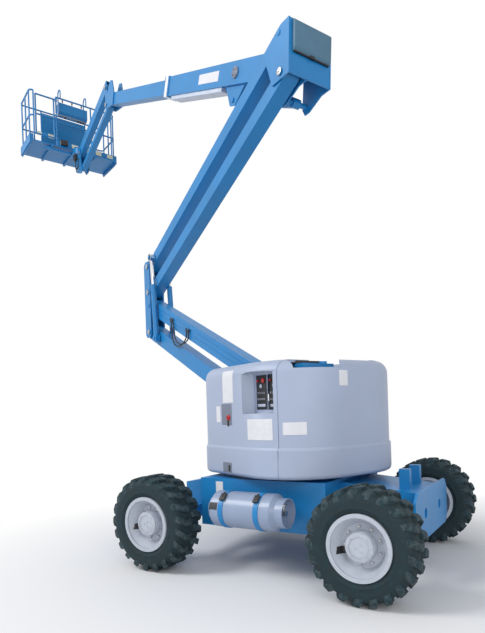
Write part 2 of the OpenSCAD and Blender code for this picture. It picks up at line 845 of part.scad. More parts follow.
module primary_base() color(paint) turned() on_prim() difference() {
  union() {
    tube_box(0, base_l - collar_band_l, base_depth, base_w, tube_wall, 0);
    cross_bar([0, 0], base_depth / 2, 0, base_w);
    difference() {
      box([base_l - collar_band_l, base_l], [-base_w / 2 - collar_grow, base_w / 2 + collar_grow],
        [-base_depth / 2 - collar_grow, base_depth / 2 + collar_grow]);
      box([base_l - collar_band_l - overrun, base_l + overrun], [-ext_w / 2 - seat_gap, ext_w / 2 + seat_gap],
        [-ext_depth / 2 - seat_gap, ext_depth / 2 + seat_gap]);
    }
    for (s = [-1, 1]) flat([
      [f_along - 2 * cheek_half_l, -base_depth / 2 + tube_wall], [f_along - cheek_half_l / 2, -f_below - cheek_low],
      [f_along + cheek_half_l / 2, -f_below - cheek_low], [f_along + 2 * cheek_half_l, -base_depth / 2 + tube_wall]
    ], s * (cheek_gap + cheek_t) / 2, cheek_t);
    for (s = [-1, 1])
      cross_bar([f_along, -f_below], pin_r, s * (cheek_gap / 2 + cheek_t), 2 * cheek_t);
  }
  cross_bar([0, 0], pin_r + pin_clear, 0, base_w + 2 * overrun);
}

module cable_tray() color(silver) turned() on_prim()
  box([tray_from, tray_to], [-tray_w / 2, tray_w / 2], [-base_depth / 2 - tray_h, -base_depth / 2]);

module on_prim_cylinder() translate([0, prim_y, 0]) along(e_pin, prim_point(f_along, -f_below)) children();

module primary_barrel() color(paint) turned() on_prim_cylinder() difference() {
  union() {
    cross_bar([0, 0], prim_eye_r + side_gap, 0, prim_eye_w);
    bar_x(0, prim_barrel_l, prim_barrel_r);
  }
  cross_bar([0, 0], pin_r + pin_clear, 0, 2 * prim_eye_w);
  bar_x(prim_bore_from, prim_barrel_l + overrun, prim_rod_r + pin_clear);
}

module primary_rod() color(silver) turned() on_prim_cylinder() {
  full = reach(e_pin, prim_point(f_along, -f_below));
  bar_x(full - prim_rod_l, full, prim_rod_r);
  cross_bar([full, 0], prim_eye_r, 0, prim_eye_w);
}

module primary_extension() color(paint) turned() {
  k_along = (k_pin - prim_pin) * [cos(prim_deg), sin(prim_deg)];
  k_above = (k_pin - prim_pin) * [-sin(prim_deg), cos(prim_deg)];
  on_prim() {
    tube_box(base_l - ext_in, ext_end, ext_depth, ext_w, tube_wall, 0);
    for (s = [-1, 1]) flat([
      [ear_from, ext_depth / 2], [ear_top_from, ear_top], [ear_top_from + ear_top_l, ear_top],
      [k_along + ear_tip, k_above + ear_tip], [k_along + ear_tip, k_above - ear_tip / 2],
      [k_along + ear_tip / 2, k_above - ear_tip], [k_along - ear_tip, k_above - ear_tip],
      [ear_from, -ext_depth / 2]
    ], s * (ext_w + ear_t) / 2, ear_t);
    cross_bar([k_along, k_above], pin_r, 0, ext_w + 2 * (ear_t + pin_head));
  }
}

// Jib

// Two plates about the jib's middle plane, with their inner faces clear of the jib
module jib_cheeks(thick)
  for (s = [-1, 1]) translate([0, prim_y + s * (jib_w / 2 + side_gap + thick / 2), 0]) children();

module jib_knuckle() color(paint) turned() {
  jib_cheeks(knuckle_plate_t) difference() {
    union() {
      cross_bar(k_pin, knuckle_low_r, 0, knuckle_plate_t);
      cross_bar(j_pin, knuckle_high_r, 0, knuckle_plate_t);
      along(k_pin, j_pin) box([0, reach(k_pin, j_pin)], [-knuckle_plate_t / 2, knuckle_plate_t / 2],
        [-neck_share * knuckle_low_r, neck_share * knuckle_low_r]);
    }
    cross_bar(k_pin, pin_r + pin_clear, 0, 2 * knuckle_plate_t);
  }
  cross_bar(j_pin, pin_r, prim_y, jib_w + 2 * (side_gap + knuckle_plate_t + pin_head));
}

module jib_arm() color(paint) turned() translate([0, prim_y, 0]) along(j_pin, j_end) difference() {
  union() {
    translate([0, 0, jib_depth / 2 - jib_drop]) tube_box(-jib_back, jib_l, jib_depth, jib_w, jib_wall, 0);
    for (x = [0, jib_l]) cross_bar([x, 0], jib_boss_r, 0, jib_w);
  }
  for (x = [0, jib_l]) cross_bar([x, 0], pin_r + pin_clear, 0, jib_w + 2 * overrun);
}

module jib_link() color(paint) turned() translate([0, prim_y, 0]) along(k_pin, k_end) difference() {
  union() {
    tube_box(0, jib_l, jib_link_depth, jib_w, jib_wall, 0);
    for (x = [0, jib_l]) cross_bar([x, 0], jib_link_depth / 2, 0, jib_w);
  }
  for (x = [0, jib_l]) cross_bar([x, 0], pin_r + pin_clear, 0, jib_w + 2 * overrun);
}

module platform_mount() color(paint) turned() {
  web_x = rot_x - post_r - mount_web_t;
  jib_cheeks(mount_plate_t) flat([
    [k_end[0] - mount_end_r, k_end[1] - mount_end_r], [k_end[0] + mount_end_r, k_end[1] - mount_end_r],
    [web_x + mount_web_t, post_low + mount_end_r], [web_x + mount_web_t, j_end[1] + mount_end_r],
    [j_end[0] - mount_end_r, j_end[1] + mount_end_r], [j_end[0] - mount_end_r, j_end[1] - mount_end_r]
  ], 0, mount_plate_t);
  half_w = jib_w / 2 + side_gap + mount_plate_t;
  box([web_x, web_x + mount_web_t + post_r], [prim_y - half_w, prim_y + half_w],
    [post_low + mount_end_r, j_end[1] + mount_end_r]);
  for (p = [j_end, k_end]) cross_bar(p, pin_r, prim_y, 2 * (half_w + pin_head));
  translate([rot_x, prim_y, post_low]) cylinder(r = post_r, h = post_top - post_low);
}

// Platform

module on_platform() turned() translate([rot_x, prim_y, 0]) rotate([0, 0, plat_yaw]) children();

module platform_floor() color(paint) on_platform() {
  translate([0, 0, post_top + seat_gap]) cylinder(r = post_r, h = post_arm_h - seat_gap);
  box([0, near_x + rib_b], [-post_r, post_r], [post_top + seat_gap, plat_low + rib_h]);
  for (y = [-plat_w / 2, -plat_w / 4, 0, plat_w / 4, plat_w / 2 - rib_b])
    box([near_x, far_x], [y, y + rib_b], [plat_low, plat_low + rib_h]);
  box([near_x, far_x], [-plat_w / 2, plat_w / 2], [plat_low + rib_h, floor_top]);
  difference() {
    box([near_x, far_x], [-plat_w / 2, plat_w / 2], [floor_top - overrun, floor_top + toe_h]);
    box([near_x + toe_t, far_x - toe_t], [-plat_w / 2 + toe_t, plat_w / 2 - toe_t],
      [floor_top - 2 * overrun, floor_top + 2 * toe_h]);
    box([near_x - overrun, near_x + 2 * toe_t], [gate_y, plat_w / 2 - rail_round],
      [floor_top, floor_top + 2 * toe_h]);
  }
}

// Lines that the rail tubes follow
rail_x0 = near_x + toe_t + rail_r + seat_gap;
rail_x1 = far_x - toe_t - rail_r - seat_gap;
rail_half = plat_w / 2 - toe_t - rail_r - seat_gap;
rail_top = plat_low + rail_h - rail_r;
rail_mid = (rail_top + floor_top) / 2;

module rail_corner(sx, sy, z)
  translate([sx > 0 ? rail_x1 - rail_round : rail_x0 + rail_round, sy * (rail_half - rail_round), z])
    rotate([0, 0, sx > 0 ? (sy > 0 ? 0 : 270) : (sy > 0 ? 90 : 180)])
      rotate_extrude(angle = 90) translate([rail_round, 0]) circle(r = rail_r);

module post(x, y) translate([x, y, floor_top]) cylinder(r = rail_post_r, h = rail_top - floor_top);

module platform_rails() color(paint) on_platform() {
  corner = rail_half - rail_round;
  for (z = [rail_top, rail_mid]) {
    for (sx = [-1, 1], sy = [-1, 1]) rail_corner(sx, sy, z);
    for (s = [-1, 1]) bar_x(rail_x0 + rail_round, rail_x1 - rail_round, rail_r, s * rail_half, z);
    bar_y(-corner, corner, rail_r, rail_x1, z);
    bar_y(-corner, gate_y, rail_r, rail_x0, z);
  }
  for (x = [rail_x0 + rail_round, mid_x, rail_x1 - rail_round], s = [-1, 1]) post(x, s * rail_half);
  for (s = [-1, 1]) post(rail_x1, s * panel_half_w);
  for (y = [gate_y, -gate_y, -corner, corner]) post(rail_x0, y);
  for (s = [-1, 1]) translate([rail_x0, s * hoop_y, rail_top]) hoop();
}

// A hand guard over the control box, its inner leg down to the box
module hoop() {
  cylinder(r = hoop_r, h = hoop_h - hoop_d / 2);
  translate([hoop_d, 0, rail_r - box_drop]) cylinder(r = hoop_r, h = hoop_h - hoop_d / 2 - rail_r + box_drop);
  translate([hoop_d / 2, 0, hoop_h - hoop_d / 2]) rotate([90, 0, 0]) rotate_extrude(angle = 180)
    translate([hoop_d / 2, 0]) circle(r = hoop_r);
}

module platform_panel() color(paint) on_platform()
  box([rail_x1 - rail_r - seat_gap - panel_t, rail_x1 - rail_r - seat_gap], [-panel_half_w, panel_half_w],
    [floor_top + toe_h, rail_top - panel_drop]);

module platform_controls() color(paint) on_platform() {
  x0 = rail_x0 + rail_r + seat_gap;
  x1 = x0 + box_d;
  top = rail_top + rail_r - box_drop;
  low = top - box_h;
  flat([
    [x0, low + box_cut], [x0, top], [x1, top], [x1, low + 2 * box_cut], [x1 - box_cut, low], [x0 + box_cut, low]
  ], 0, 2 * box_half_w);
}

module platform_gate() color(paint) on_platform() {
  y0 = gate_y + gate_sleeve_r;
  y1 = rail_half - rail_round - rail_r - gate_gap;
  bottom = gate_low + rail_r;
  top = rail_top - gate_sleeve_h;
  for (z = [bottom, top]) {
    difference() {
      translate([rail_x0, gate_y, z - gate_sleeve_h / 2]) cylinder(r = gate_sleeve_r, h = gate_sleeve_h);
      translate([rail_x0, gate_y, z - gate_sleeve_h]) cylinder(r = rail_post_r + pin_clear, h = 2 * gate_sleeve_h);
    }
    bar_y(gate_y + rail_r + overrun, y1 - rail_r, rail_r, rail_x0, z);
  }
  for (y = [y0 + rail_r + gate_gap, y1 - rail_r])
    translate([rail_x0, y, bottom]) cylinder(r = rail_r, h = top - bottom);
  bar_y(y0, y1 - rail_r, rail_r, rail_x0, (bottom + top) / 2);
}

chassis_frame();
steer_end_frame();
tie_down_plate();
drive_end_frame();
steer_axle();
drive_axle();
knuckle_left();
knuckle_right();
wheel_front_left();
wheel_front_right();
wheel_rear_left();
wheel_rear_right();
tyre_front_left();
tyre_front_right();
tyre_rear_left();
tyre_rear_right();
gas_tank();
tank_straps();
slew_ring();
turntable_deck();
riser_bracket();
cover_hinges();
counterweight();
engine_block();
hydraulic_tank();
ground_controls();
cover_left();
cover_right();
cover_tail();
lower_link_bottom();
lower_link_top();
elbow();
upper_link_bottom();
upper_link_top();
riser_barrels();
riser_rods();
upper_pivot();
upper_pivot_cap();
primary_base();
cable_tray();
primary_barrel();
primary_rod();
primary_extension();
jib_knuckle();
jib_arm();
jib_link();
platform_mount();
platform_floor();
platform_rails();
platform_panel();
platform_controls();
platform_gate();
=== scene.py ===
"""Dresses the articulating boom lift: finishes, tyres, fittings, hoses and the studio."""

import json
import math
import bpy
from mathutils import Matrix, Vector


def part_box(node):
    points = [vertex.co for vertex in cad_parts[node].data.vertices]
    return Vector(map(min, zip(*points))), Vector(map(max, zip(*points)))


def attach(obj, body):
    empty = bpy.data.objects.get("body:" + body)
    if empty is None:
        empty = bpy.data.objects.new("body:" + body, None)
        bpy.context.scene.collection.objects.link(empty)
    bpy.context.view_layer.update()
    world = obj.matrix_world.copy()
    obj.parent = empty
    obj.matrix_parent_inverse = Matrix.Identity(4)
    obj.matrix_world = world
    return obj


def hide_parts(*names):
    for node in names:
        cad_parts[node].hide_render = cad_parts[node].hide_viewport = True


bl_info = {
    "name": "Articulating Boom Lift Dressing",
    "version": (1, 0, 0),
    "blender": (4, 5, 0),
    "location": "View3D > Sidebar > Boom Lift",
    "description": "Finishes and fittings for an articulating boom lift",
    "category": "Object",
}

import bmesh
import bpy
from mathutils import Matrix, Vector

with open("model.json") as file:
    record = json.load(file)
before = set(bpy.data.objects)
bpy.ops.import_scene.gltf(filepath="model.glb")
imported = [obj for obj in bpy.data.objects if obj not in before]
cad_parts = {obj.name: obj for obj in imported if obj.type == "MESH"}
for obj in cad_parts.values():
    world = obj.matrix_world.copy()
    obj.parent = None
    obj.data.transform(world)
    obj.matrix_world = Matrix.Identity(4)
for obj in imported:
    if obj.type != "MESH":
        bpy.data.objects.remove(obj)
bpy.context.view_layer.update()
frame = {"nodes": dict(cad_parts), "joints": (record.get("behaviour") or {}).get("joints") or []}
JOINTS = {joint["name"]: joint for joint in frame["joints"]}
PART = Matrix.Identity(4)

# Corners closer than this are one, in metres
MERGE = 0.0002
# Depth of the points that count as one flat face, in metres
FACE_DEPTH = 0.0005
# A plate is laid from this far outside, in metres, and cut this often each way
PLATE_START = 0.15
PLATE_CUTS = 9
TYRE_STEPS = 72
WHITE = (1, 1, 1, 1)


# Places read from the frame

def pin(joint_name):
    """A hinge's place in the part's frame."""
    return Vector(JOINTS[joint_name]["pos_m"])


BOOM_LEFT = -Vector(JOINTS["riser"]["axis"])
BOOM_AHEAD = BOOM_LEFT.cross(Vector((0, 0, 1)))
BOOM_TURN = math.atan2(BOOM_AHEAD.y, BOOM_AHEAD.x)
TURN = Matrix.Rotation(BOOM_TURN, 4, "Z")


def side_view(point):
    """A point as [ahead along the boom, left of it, up]."""
    return TURN.inverted() @ Vector(point)


PRIMARY_DIRECTION = Vector(JOINTS["telescope"]["axis"])
PRIMARY_LIFT = math.asin(PRIMARY_DIRECTION.z)
PRIMARY = Matrix.Translation(pin("primary_lift")) @ TURN @ Matrix.Rotation(-PRIMARY_LIFT, 4, "Y")
PLATFORM_PIVOT = pin("platform_turn")
GATE_POST = pin("gate_swing")


def platform_turn():
    """The platform's own heading, from the flat of its infill panel."""
    panel = frame["nodes"]["platform_panel"].data.vertices
    low = min((v.co for v in panel), key=lambda p: p.y)
    high = max((v.co for v in panel), key=lambda p: p.y)
    across = (high - low).to_2d()
    return math.atan2(across.y, across.x) - math.pi / 2


PLATFORM_YAW = platform_turn() + math.pi
PLATFORM = Matrix.Translation((PLATFORM_PIVOT.x, PLATFORM_PIVOT.y, 0)) @ Matrix.Rotation(PLATFORM_YAW, 4, "Z")


def node_points(node, turn):
    """A node's points in a turned frame."""
    back = turn.inverted()
    return [back @ v.co for v in frame["nodes"][node].data.vertices]


def corners(points):
    """The lowest and the highest corner of some points."""
    return [Vector([pick(p[i] for p in points) for i in range(3)]) for pick in (min, max)]


def node_box(node, turn):
    """A node's lowest and highest corner in a turned frame."""
    return corners(node_points(node, turn))


def end_face(node, turn, axis, side):
    """The corners of a node's outermost flat face along one axis of a turned frame."""
    points = node_points(node, turn)
    edge = max(side * p[axis] for p in points)
    return corners([p for p in points if side * p[axis] > edge - FACE_DEPTH])


# Properties

def colour(label, words, default):
    return bpy.props.FloatVectorProperty(
        name=label, description=words, default=default, size=3, subtype="COLOR", min=0.0, max=1.0)


def length(label, words, default):
    return bpy.props.FloatProperty(name=label, description=words, default=default, unit="LENGTH")


def number(label, words, default, kind="NONE"):
    return bpy.props.FloatProperty(name=label, description=words, default=default, subtype=kind)


def count(label, words, default, low, high):
    return bpy.props.IntProperty(name=label, description=words, default=default, min=low, max=high)


class LIFT_PG_colours(bpy.types.PropertyGroup):
    paint: colour("Paint", "Blue of the chassis and the boom", (0.009, 0.200, 0.490))
    cover: colour("Covers", "Grey of the moulded covers", (0.380, 0.440, 0.575))
    rim: colour("Rims", "Grey of the wheels", (0.460, 0.495, 0.560))
    tank: colour("Tank", "Grey of the gas tank", (0.270, 0.335, 0.470))
    rubber: colour("Tyres", "Black of the tyres", (0.005, 0.021, 0.028))
    dust: colour("Dust", "Dry dust on the tread", (0.075, 0.100, 0.110))
    cap: colour("Cap", "Dark moulding behind the upper pivot", (0.070, 0.165, 0.245))
    knob: colour("Knob", "Red of the knobs and stop buttons", (0.560, 0.022, 0.020))


class LIFT_PG_wheels(bpy.types.PropertyGroup):
    lug_rows: count("Lugs", "Lugs on each side of a tyre", 21, 12, 30)
    lug_deep: length("Lug depth", "Height of a lug above the carcass", 0.034)
    nut_circle: length("Nut circle", "Radius of the circle of wheel nuts", 0.137)
    nut_count: count("Nuts", "Nuts on each wheel", 9, 5, 12)


class LIFT_PG_fittings(bpy.types.PropertyGroup):
    plate_thick: length("Plate", "Thickness of a blank plate", 0.003)
    hose_radius: length("Hose", "Radius of a hydraulic hose", 0.009)
    cap_radius: length("Pin cap", "Radius of a boom pin's end cap", 0.034)


class LIFT_PG_stage(bpy.types.PropertyGroup):
    eye: bpy.props.FloatVectorProperty(
        name="Eye", description="Where the camera stands", default=(2.355, -4.593, 1.427), size=3,
        subtype="XYZ", unit="LENGTH")
    heading: number("Heading", "Turn of the view from +Y to the right", -0.538, "ANGLE")
    pitch: number("Pitch", "Tilt of the view above level", -0.007, "ANGLE")
    roll: number("Roll", "Lean of the view", -0.033, "ANGLE")
    lens: number("Lens", "Focal length for a 36 mm frame", 29.85, "DISTANCE_CAMERA")
    shift: bpy.props.FloatVectorProperty(
        name="Shift", description="Offset of the picture's frame", default=(-0.037, 0.152), size=2)
    key_power: number("Key light", "Power of the main lamp", 1400.0, "POWER")
    fill_power: number("Fill light", "Power of the second lamp", 470.0, "POWER")
    sky: number("Sky", "Strength of the even light", 0.45)


SETTINGS = {
    "lift_colours": LIFT_PG_colours,
    "lift_wheels": LIFT_PG_wheels,
    "lift_fittings": LIFT_PG_fittings,
    "lift_stage": LIFT_PG_stage,
}


# Modelling helpers

def mode(kind):
    bpy.ops.object.mode_set(mode=kind)


def smooth(degrees):
    """Shades the active piece smooth, apart from edges sharper than this."""
    bpy.ops.object.shade_smooth_by_angle(angle=math.radians(degrees))


def clear_selection():
    if bpy.context.object and bpy.context.object.mode != "OBJECT":
        mode("OBJECT")
    bpy.ops.object.select_all(action="DESELECT")


def make_active(piece):
    clear_selection()
    piece.select_set(True)
    bpy.context.view_layer.objects.active = piece


def settle(piece, place):
    """Puts a piece at its place and keeps that place in its mesh."""
    make_active(piece)
    piece.matrix_world = place @ piece.matrix_world
    bpy.ops.object.transform_apply(location=True, rotation=True, scale=True)
    return piece


def block(name, low, high, bevel=0.0, segments=2):
    """A bevelled block between two corners."""
    clear_selection()
    low, high = Vector(low), Vector(high)
    bpy.ops.mesh.primitive_cube_add(size=1, location=(low + high) / 2)
    piece = bpy.context.object
    piece.name = name
    piece.scale = high - low
    bpy.ops.object.transform_apply(location=True, rotation=True, scale=True)
    if bevel:
        mode("EDIT")
        select_all()
        bpy.ops.mesh.bevel(offset=bevel, segments=segments, profile=0.5)
        mode("OBJECT")
        smooth(35)
    return piece


def select_all():
    bpy.ops.mesh.select_all(action="SELECT")


def select_faces(piece, test):
    """In edit mode, selects the faces whose middle and normal pass the test."""
    bpy.ops.mesh.select_mode(type="FACE")
    bpy.ops.mesh.select_all(action="DESELECT")
    shape = bmesh.from_edit_mesh(piece.data)
    for face in shape.faces:
        face.select = bool(test(face.calc_center_median(), face.normal))
    shape.select_flush_mode()
    bmesh.update_edit_mesh(piece.data)


def round_bar(name, radius, start, end, sides=24, bevel=0.0):
    """A bar between two points with bevelled ends."""
    clear_selection()
    start, end = Vector(start), Vector(end)
    bpy.ops.mesh.primitive_cylinder_add(radius=radius, depth=(end - start).length, vertices=sides)
    piece = bpy.context.object
    piece.name = name
    if bevel:
        mode("EDIT")
        select_faces(piece, lambda middle, normal: abs(normal.z) > 0.9)
        bpy.ops.mesh.bevel(offset=bevel, segments=2, profile=0.5)
        mode("OBJECT")
    smooth(40)
    turn = (end - start).to_track_quat("Z", "Y").to_matrix().to_4x4()
    return settle(piece, Matrix.Translation((start + end) / 2) @ turn)


def upright(name, radius, x, y, low, high, **ends):
    """A bar along Z."""
    return round_bar(name, radius, (x, y, low), (x, y, high), **ends)


def crosswise(name, radius, x, z, start, end, **ends):
    """A bar along Y."""
    return round_bar(name, radius, (x, start, z), (x, end, z), **ends)


def ring(total, radius, start=0):
    """Places round a circle, as [x, z]."""
    angles = [2 * math.pi * (i + start) / total for i in range(total)]
    return [(radius * math.cos(angle), radius * math.sin(angle)) for angle in angles]


def copy_of(piece, name, place):
    """A copy with a mesh of its own, moved to another place."""
    twin = piece.copy()
    twin.data = piece.data.copy()
    twin.name = name
    bpy.context.scene.collection.objects.link(twin)
    twin.data.transform(place)
    return twin


def join(name, pieces):
    """One object from several."""
    clear_selection()
    for piece in pieces:
        piece.select_set(True)
    bpy.context.view_layer.objects.active = pieces[0]
    if len(pieces) > 1:
        bpy.ops.object.join()
    pieces[0].name = name
    return pieces[0]


def hose(name, points, radius, sides=10):
    """A tube along a smooth curve through the points."""
    clear_selection()
    bpy.ops.curve.primitive_nurbs_path_add()
    path = bpy.context.object
    path.name = name
    spline = path.data.splines[0]
    spline.points.add(len(points) - len(spline.points))
    for point, place in zip(spline.points, points):
        point.co = (*place, 1)
    spline.use_endpoint_u = True
    spline.order_u = 4
    path.data.resolution_u = 6
    path.data.bevel_depth = radius
    path.data.bevel_resolution = sides // 4
    path.data.use_fill_caps = True
    bpy.ops.object.convert(target="MESH")
    bpy.ops.object.shade_smooth()
    return settle(bpy.context.object, PART)


def dress(piece, key, body):
    """Gives a piece its finish and the body that carries it."""
    piece.data.materials.clear()
    piece.data.materials.append(FINISHES[key])
    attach(piece, body)
    return piece


def fit(piece, turn, key, body):
    """Moves a piece drawn in a turned frame to the part's frame and dresses it."""
    return dress(settle(piece, turn), key, body)


def apply_modifier(piece, kind, **values):
    make_active(piece)
    modifier = piece.modifiers.new(kind.lower(), kind)
    for name, value in values.items():
        setattr(modifier, name, value)
    bpy.ops.object.modifier_apply(modifier=modifier.name)


def plate_on(name, node, turn, middle, outward, size, thick, key, body):
    """A blank plate laid on a solid's surface, drawn facing outward from a point near it."""
    clear_selection()
    bpy.ops.mesh.primitive_plane_add(size=1)
    plate = bpy.context.object
    plate.name = name
    plate.scale = (size[0], size[1], 1)
    bpy.ops.object.transform_apply(location=False, rotation=False, scale=True)
    mode("EDIT")
    select_all()
    bpy.ops.mesh.subdivide(number_cuts=PLATE_CUTS)
    mode("OBJECT")
    outward = (turn.to_3x3() @ Vector(outward)).normalized()
    across = (turn.to_3x3() @ Vector((0, 0, 1))).cross(outward).normalized()
    axes = Matrix((across, outward.cross(across), outward)).transposed().to_4x4()
    plate.matrix_world = Matrix.Translation(turn @ Vector(middle) + outward * PLATE_START) @ axes
    apply_modifier(plate, "SHRINKWRAP", target=frame["nodes"][node], wrap_method="PROJECT",
                   use_project_z=True, use_negative_direction=True, use_positive_direction=False)
    apply_modifier(plate, "SOLIDIFY", thickness=thick, offset=1)
    apply_modifier(plate, "BEVEL", width=thick * 0.4, segments=1, limit_method="ANGLE")
    smooth(30)
    return fit(plate, PART, key, body)


def pin_cap(name, place, outward, radius):
    """A pin's end: a bevelled disc with a retaining bolt."""
    place, outward = Vector(place), Vector(outward)
    disc = round_bar(name, radius, place, place + outward * 0.010, sides=32, bevel=0.003)
    bolt = round_bar(
        name, radius * 0.3, place + outward * 0.009, place + outward * 0.018, sides=6, bevel=0.002)
    return join(name, [disc, bolt])


def moulding_of(node, name):
    """A copy of a solid with the corners of its facets merged."""
    piece = copy_of(frame["nodes"][node], name, PART)
    make_active(piece)
    mode("EDIT")
    select_all()
    bpy.ops.mesh.remove_doubles(threshold=MERGE)
    bpy.ops.mesh.normals_make_consistent(inside=False)
    mode("OBJECT")
    return piece


# Finishes

def fill(node, **sockets):
    """Sets a node's inputs by name, with underscores for spaces."""
    for name, value in sockets.items():
        node.inputs[name.replace("_", " ")].default_value = value
    return node


def add(tree, kind, **sockets):
    """A new shader node with its inputs set."""
    return fill(tree.nodes.new("ShaderNode" + kind), **sockets)


def noise(tree, scale, detail, **sockets):
    """A cloudy pattern on the piece's own coordinates."""
    coord = add(tree, "TexCoord")
    pattern = add(tree, "TexNoise", Scale=scale, Detail=detail, **sockets)
    tree.links.new(coord.outputs["Object"], pattern.inputs["Vector"])
    return pattern


def ramp(tree, value, stops):
    """A colour ramp over a value, from [place, colour] stops."""
    node = add(tree, "ValToRGB")
    for stop, (place, tint) in zip(node.color_ramp.elements, stops):
        stop.position = place
        stop.color = (*tint, 1)
    tree.links.new(value, node.inputs["Fac"])
    return node


def shade(tint, share):
    return tuple(min(1.0, part * share) for part in tint)


def finish(name, tint, rough=(0.3, 0.45), patch=6.0, spread=0.10, grain=220.0, bump=0.03,
           metallic=0.0, coat=0.0, dust=None, dust_from=0.62):
    """A painted, moulded or metal finish with uneven tone, gloss and a fine grain."""
    material = bpy.data.materials.new(name)
    material.use_nodes = True
    tree = material.node_tree
    shader = fill(tree.nodes["Principled BSDF"], Metallic=metallic, Coat_Weight=coat)
    cloud = noise(tree, patch, 5.0, Roughness=0.6)
    tone = ramp(tree, cloud.outputs["Fac"], [(0.3, shade(tint, 1 - spread)), (0.7, shade(tint, 1 + spread))])
    colour_out = tone.outputs["Color"]
    if dust:
        smear = noise(tree, patch * 2.7, 8.0, Roughness=0.7)
        cover = add(tree, "MapRange", From_Min=dust_from - 0.12, From_Max=dust_from + 0.12, To_Max=0.85)
        tree.links.new(smear.outputs["Fac"], cover.inputs["Value"])
        mix = add(tree, "MixRGB", Color2=(*dust, 1))
        tree.links.new(cover.outputs["Result"], mix.inputs["Fac"])
        tree.links.new(colour_out, mix.inputs["Color1"])
        colour_out = mix.outputs["Color"]
    tree.links.new(colour_out, shader.inputs["Base Color"])
    gloss = add(tree, "MapRange", To_Min=rough[0], To_Max=rough[1])
    tree.links.new(cloud.outputs["Fac"], gloss.inputs["Value"])
    tree.links.new(gloss.outputs["Result"], shader.inputs["Roughness"])
    fine = noise(tree, grain, 2.0)
    relief = add(tree, "Bump", Strength=bump, Distance=0.002)
    tree.links.new(fine.outputs["Fac"], relief.inputs["Height"])
    tree.links.new(relief.outputs["Normal"], shader.inputs["Normal"])
    return material


def striped(name, first, second, pitch, turn):
    """Stripes of two colours."""
    material = finish(name, first, rough=(0.45, 0.6))
    tree = material.node_tree
    shader = tree.nodes["Principled BSDF"]
    coord = add(tree, "TexCoord")
    turned = add(tree, "Mapping", Rotation=turn)
    wave = add(tree, "TexWave", Scale=1 / pitch)
    wave.bands_direction = "X"
    tree.links.new(coord.outputs["Object"], turned.inputs["Vector"])
    tree.links.new(turned.outputs["Vector"], wave.inputs["Vector"])
    bands = ramp(tree, wave.outputs["Fac"], [(0.48, first), (0.52, second)])
    tree.links.new(bands.outputs["Color"], shader.inputs["Base Color"])
    return material


FINISHES = {}


def make_finishes():
    tints = bpy.context.scene.lift_colours
    paint, cover, rim, tank, rubber, dust, cap, knob = [
        tuple(getattr(tints, name)) for name in LIFT_PG_colours.__annotations__]
    FINISHES.update({
        "paint": finish("boom_blue_paint", paint, rough=(0.34, 0.48), spread=0.08, patch=2.5, bump=0.02),
        "cover": finish("cover_grey_moulding", cover, rough=(0.42, 0.52), spread=0.04, patch=2.0, grain=420,
                        bump=0.05),
        # Cover grey darkened to 0.45: painted shade of the latch recesses, laid as flat plates
        "recess": finish("recess_grey", shade(cover, 0.45), rough=(0.5, 0.6), spread=0.08, patch=6,
                         grain=420),
        "rim": finish("rim_grey_paint", rim, rough=(0.40, 0.55), spread=0.08, patch=9,
                      dust=shade(rim, 0.55), dust_from=0.74),
        "tank": finish("tank_grey_enamel", tank, rough=(0.32, 0.45), spread=0.05, patch=6, coat=0.15),
        # Lugs take the rubber lifted to 1.3 and the full dust, the carcass the dust at 0.35: dust on the
        # tread, with painted light on the lugs and painted shade between them
        "rubber": finish("tyre_rubber", rubber, rough=(0.72, 0.92), spread=0.35, patch=14, grain=160,
                         bump=0.25, dust=shade(dust, 0.35), dust_from=0.66),
        "lug": finish("tyre_lug_dusty", shade(rubber, 1.3), rough=(0.8, 0.95), spread=0.4, patch=11,
                      grain=140, bump=0.35, dust=dust, dust_from=0.56),
        "cap": finish("cap_dark_moulding", cap, rough=(0.45, 0.6), patch=5, grain=380, bump=0.06),
        "black": finish("black_plastic", (0.012, 0.012, 0.014), rough=(0.4, 0.55), spread=0.25, patch=18,
                        grain=300, bump=0.06),
        "hose": finish("hose_rubber", (0.010, 0.011, 0.012), rough=(0.5, 0.65), spread=0.2, patch=30,
                       grain=500, bump=0.1),
        "knob": finish("red_knob", knob, rough=(0.25, 0.35), spread=0.08, patch=30),
        "label": finish("blank_label", (0.72, 0.72, 0.76), rough=(0.35, 0.5), spread=0.04, patch=20),
        "band": finish("white_band", (0.80, 0.81, 0.84), rough=(0.3, 0.45), spread=0.03, patch=12),
        "steel": finish("bare_steel", (0.48, 0.49, 0.51), rough=(0.25, 0.42), spread=0.12, patch=25,
                        metallic=1.0),
        "rod": finish("chromed_rod", (0.72, 0.73, 0.75), rough=(0.08, 0.16), spread=0.05, patch=15,
                      metallic=1.0, bump=0.0),
        "tray": finish("plated_tray", (0.50, 0.55, 0.66), rough=(0.4, 0.55), patch=8, metallic=0.35),
        "dark": finish("dark_steel", (0.030, 0.034, 0.040), rough=(0.45, 0.65), spread=0.3, patch=10),
        "stripes": striped("toe_board_stripes", (0.70, 0.68, 0.52), paint, 0.55, (0, 0, PLATFORM_YAW)),
    })


NODE_FINISHES = {
    "paint": "chassis_frame steer_end_frame tie_down_plate drive_end_frame steer_axle drive_axle tank_straps "
    "turntable_deck riser_bracket cover_hinges lower_link_bottom lower_link_top elbow upper_link_bottom "
    "upper_link_top riser_barrels upper_pivot primary_base primary_barrel primary_extension jib_knuckle "
    "jib_arm jib_link platform_mount platform_floor platform_rails platform_panel platform_controls "
    "platform_gate hydraulic_tank",
    "cover": "cover_left cover_right cover_tail",
    "rim": "wheel_front_left wheel_front_right wheel_rear_left wheel_rear_right",
    "rubber": "tyre_front_left tyre_front_right tyre_rear_left tyre_rear_right",
    "tank": "gas_tank",
    "cap": "upper_pivot_cap",
    "black": "ground_controls",
    "rod": "riser_rods primary_rod",
    "tray": "cable_tray",
    "dark": "knuckle_left knuckle_right slew_ring counterweight engine_block",
}


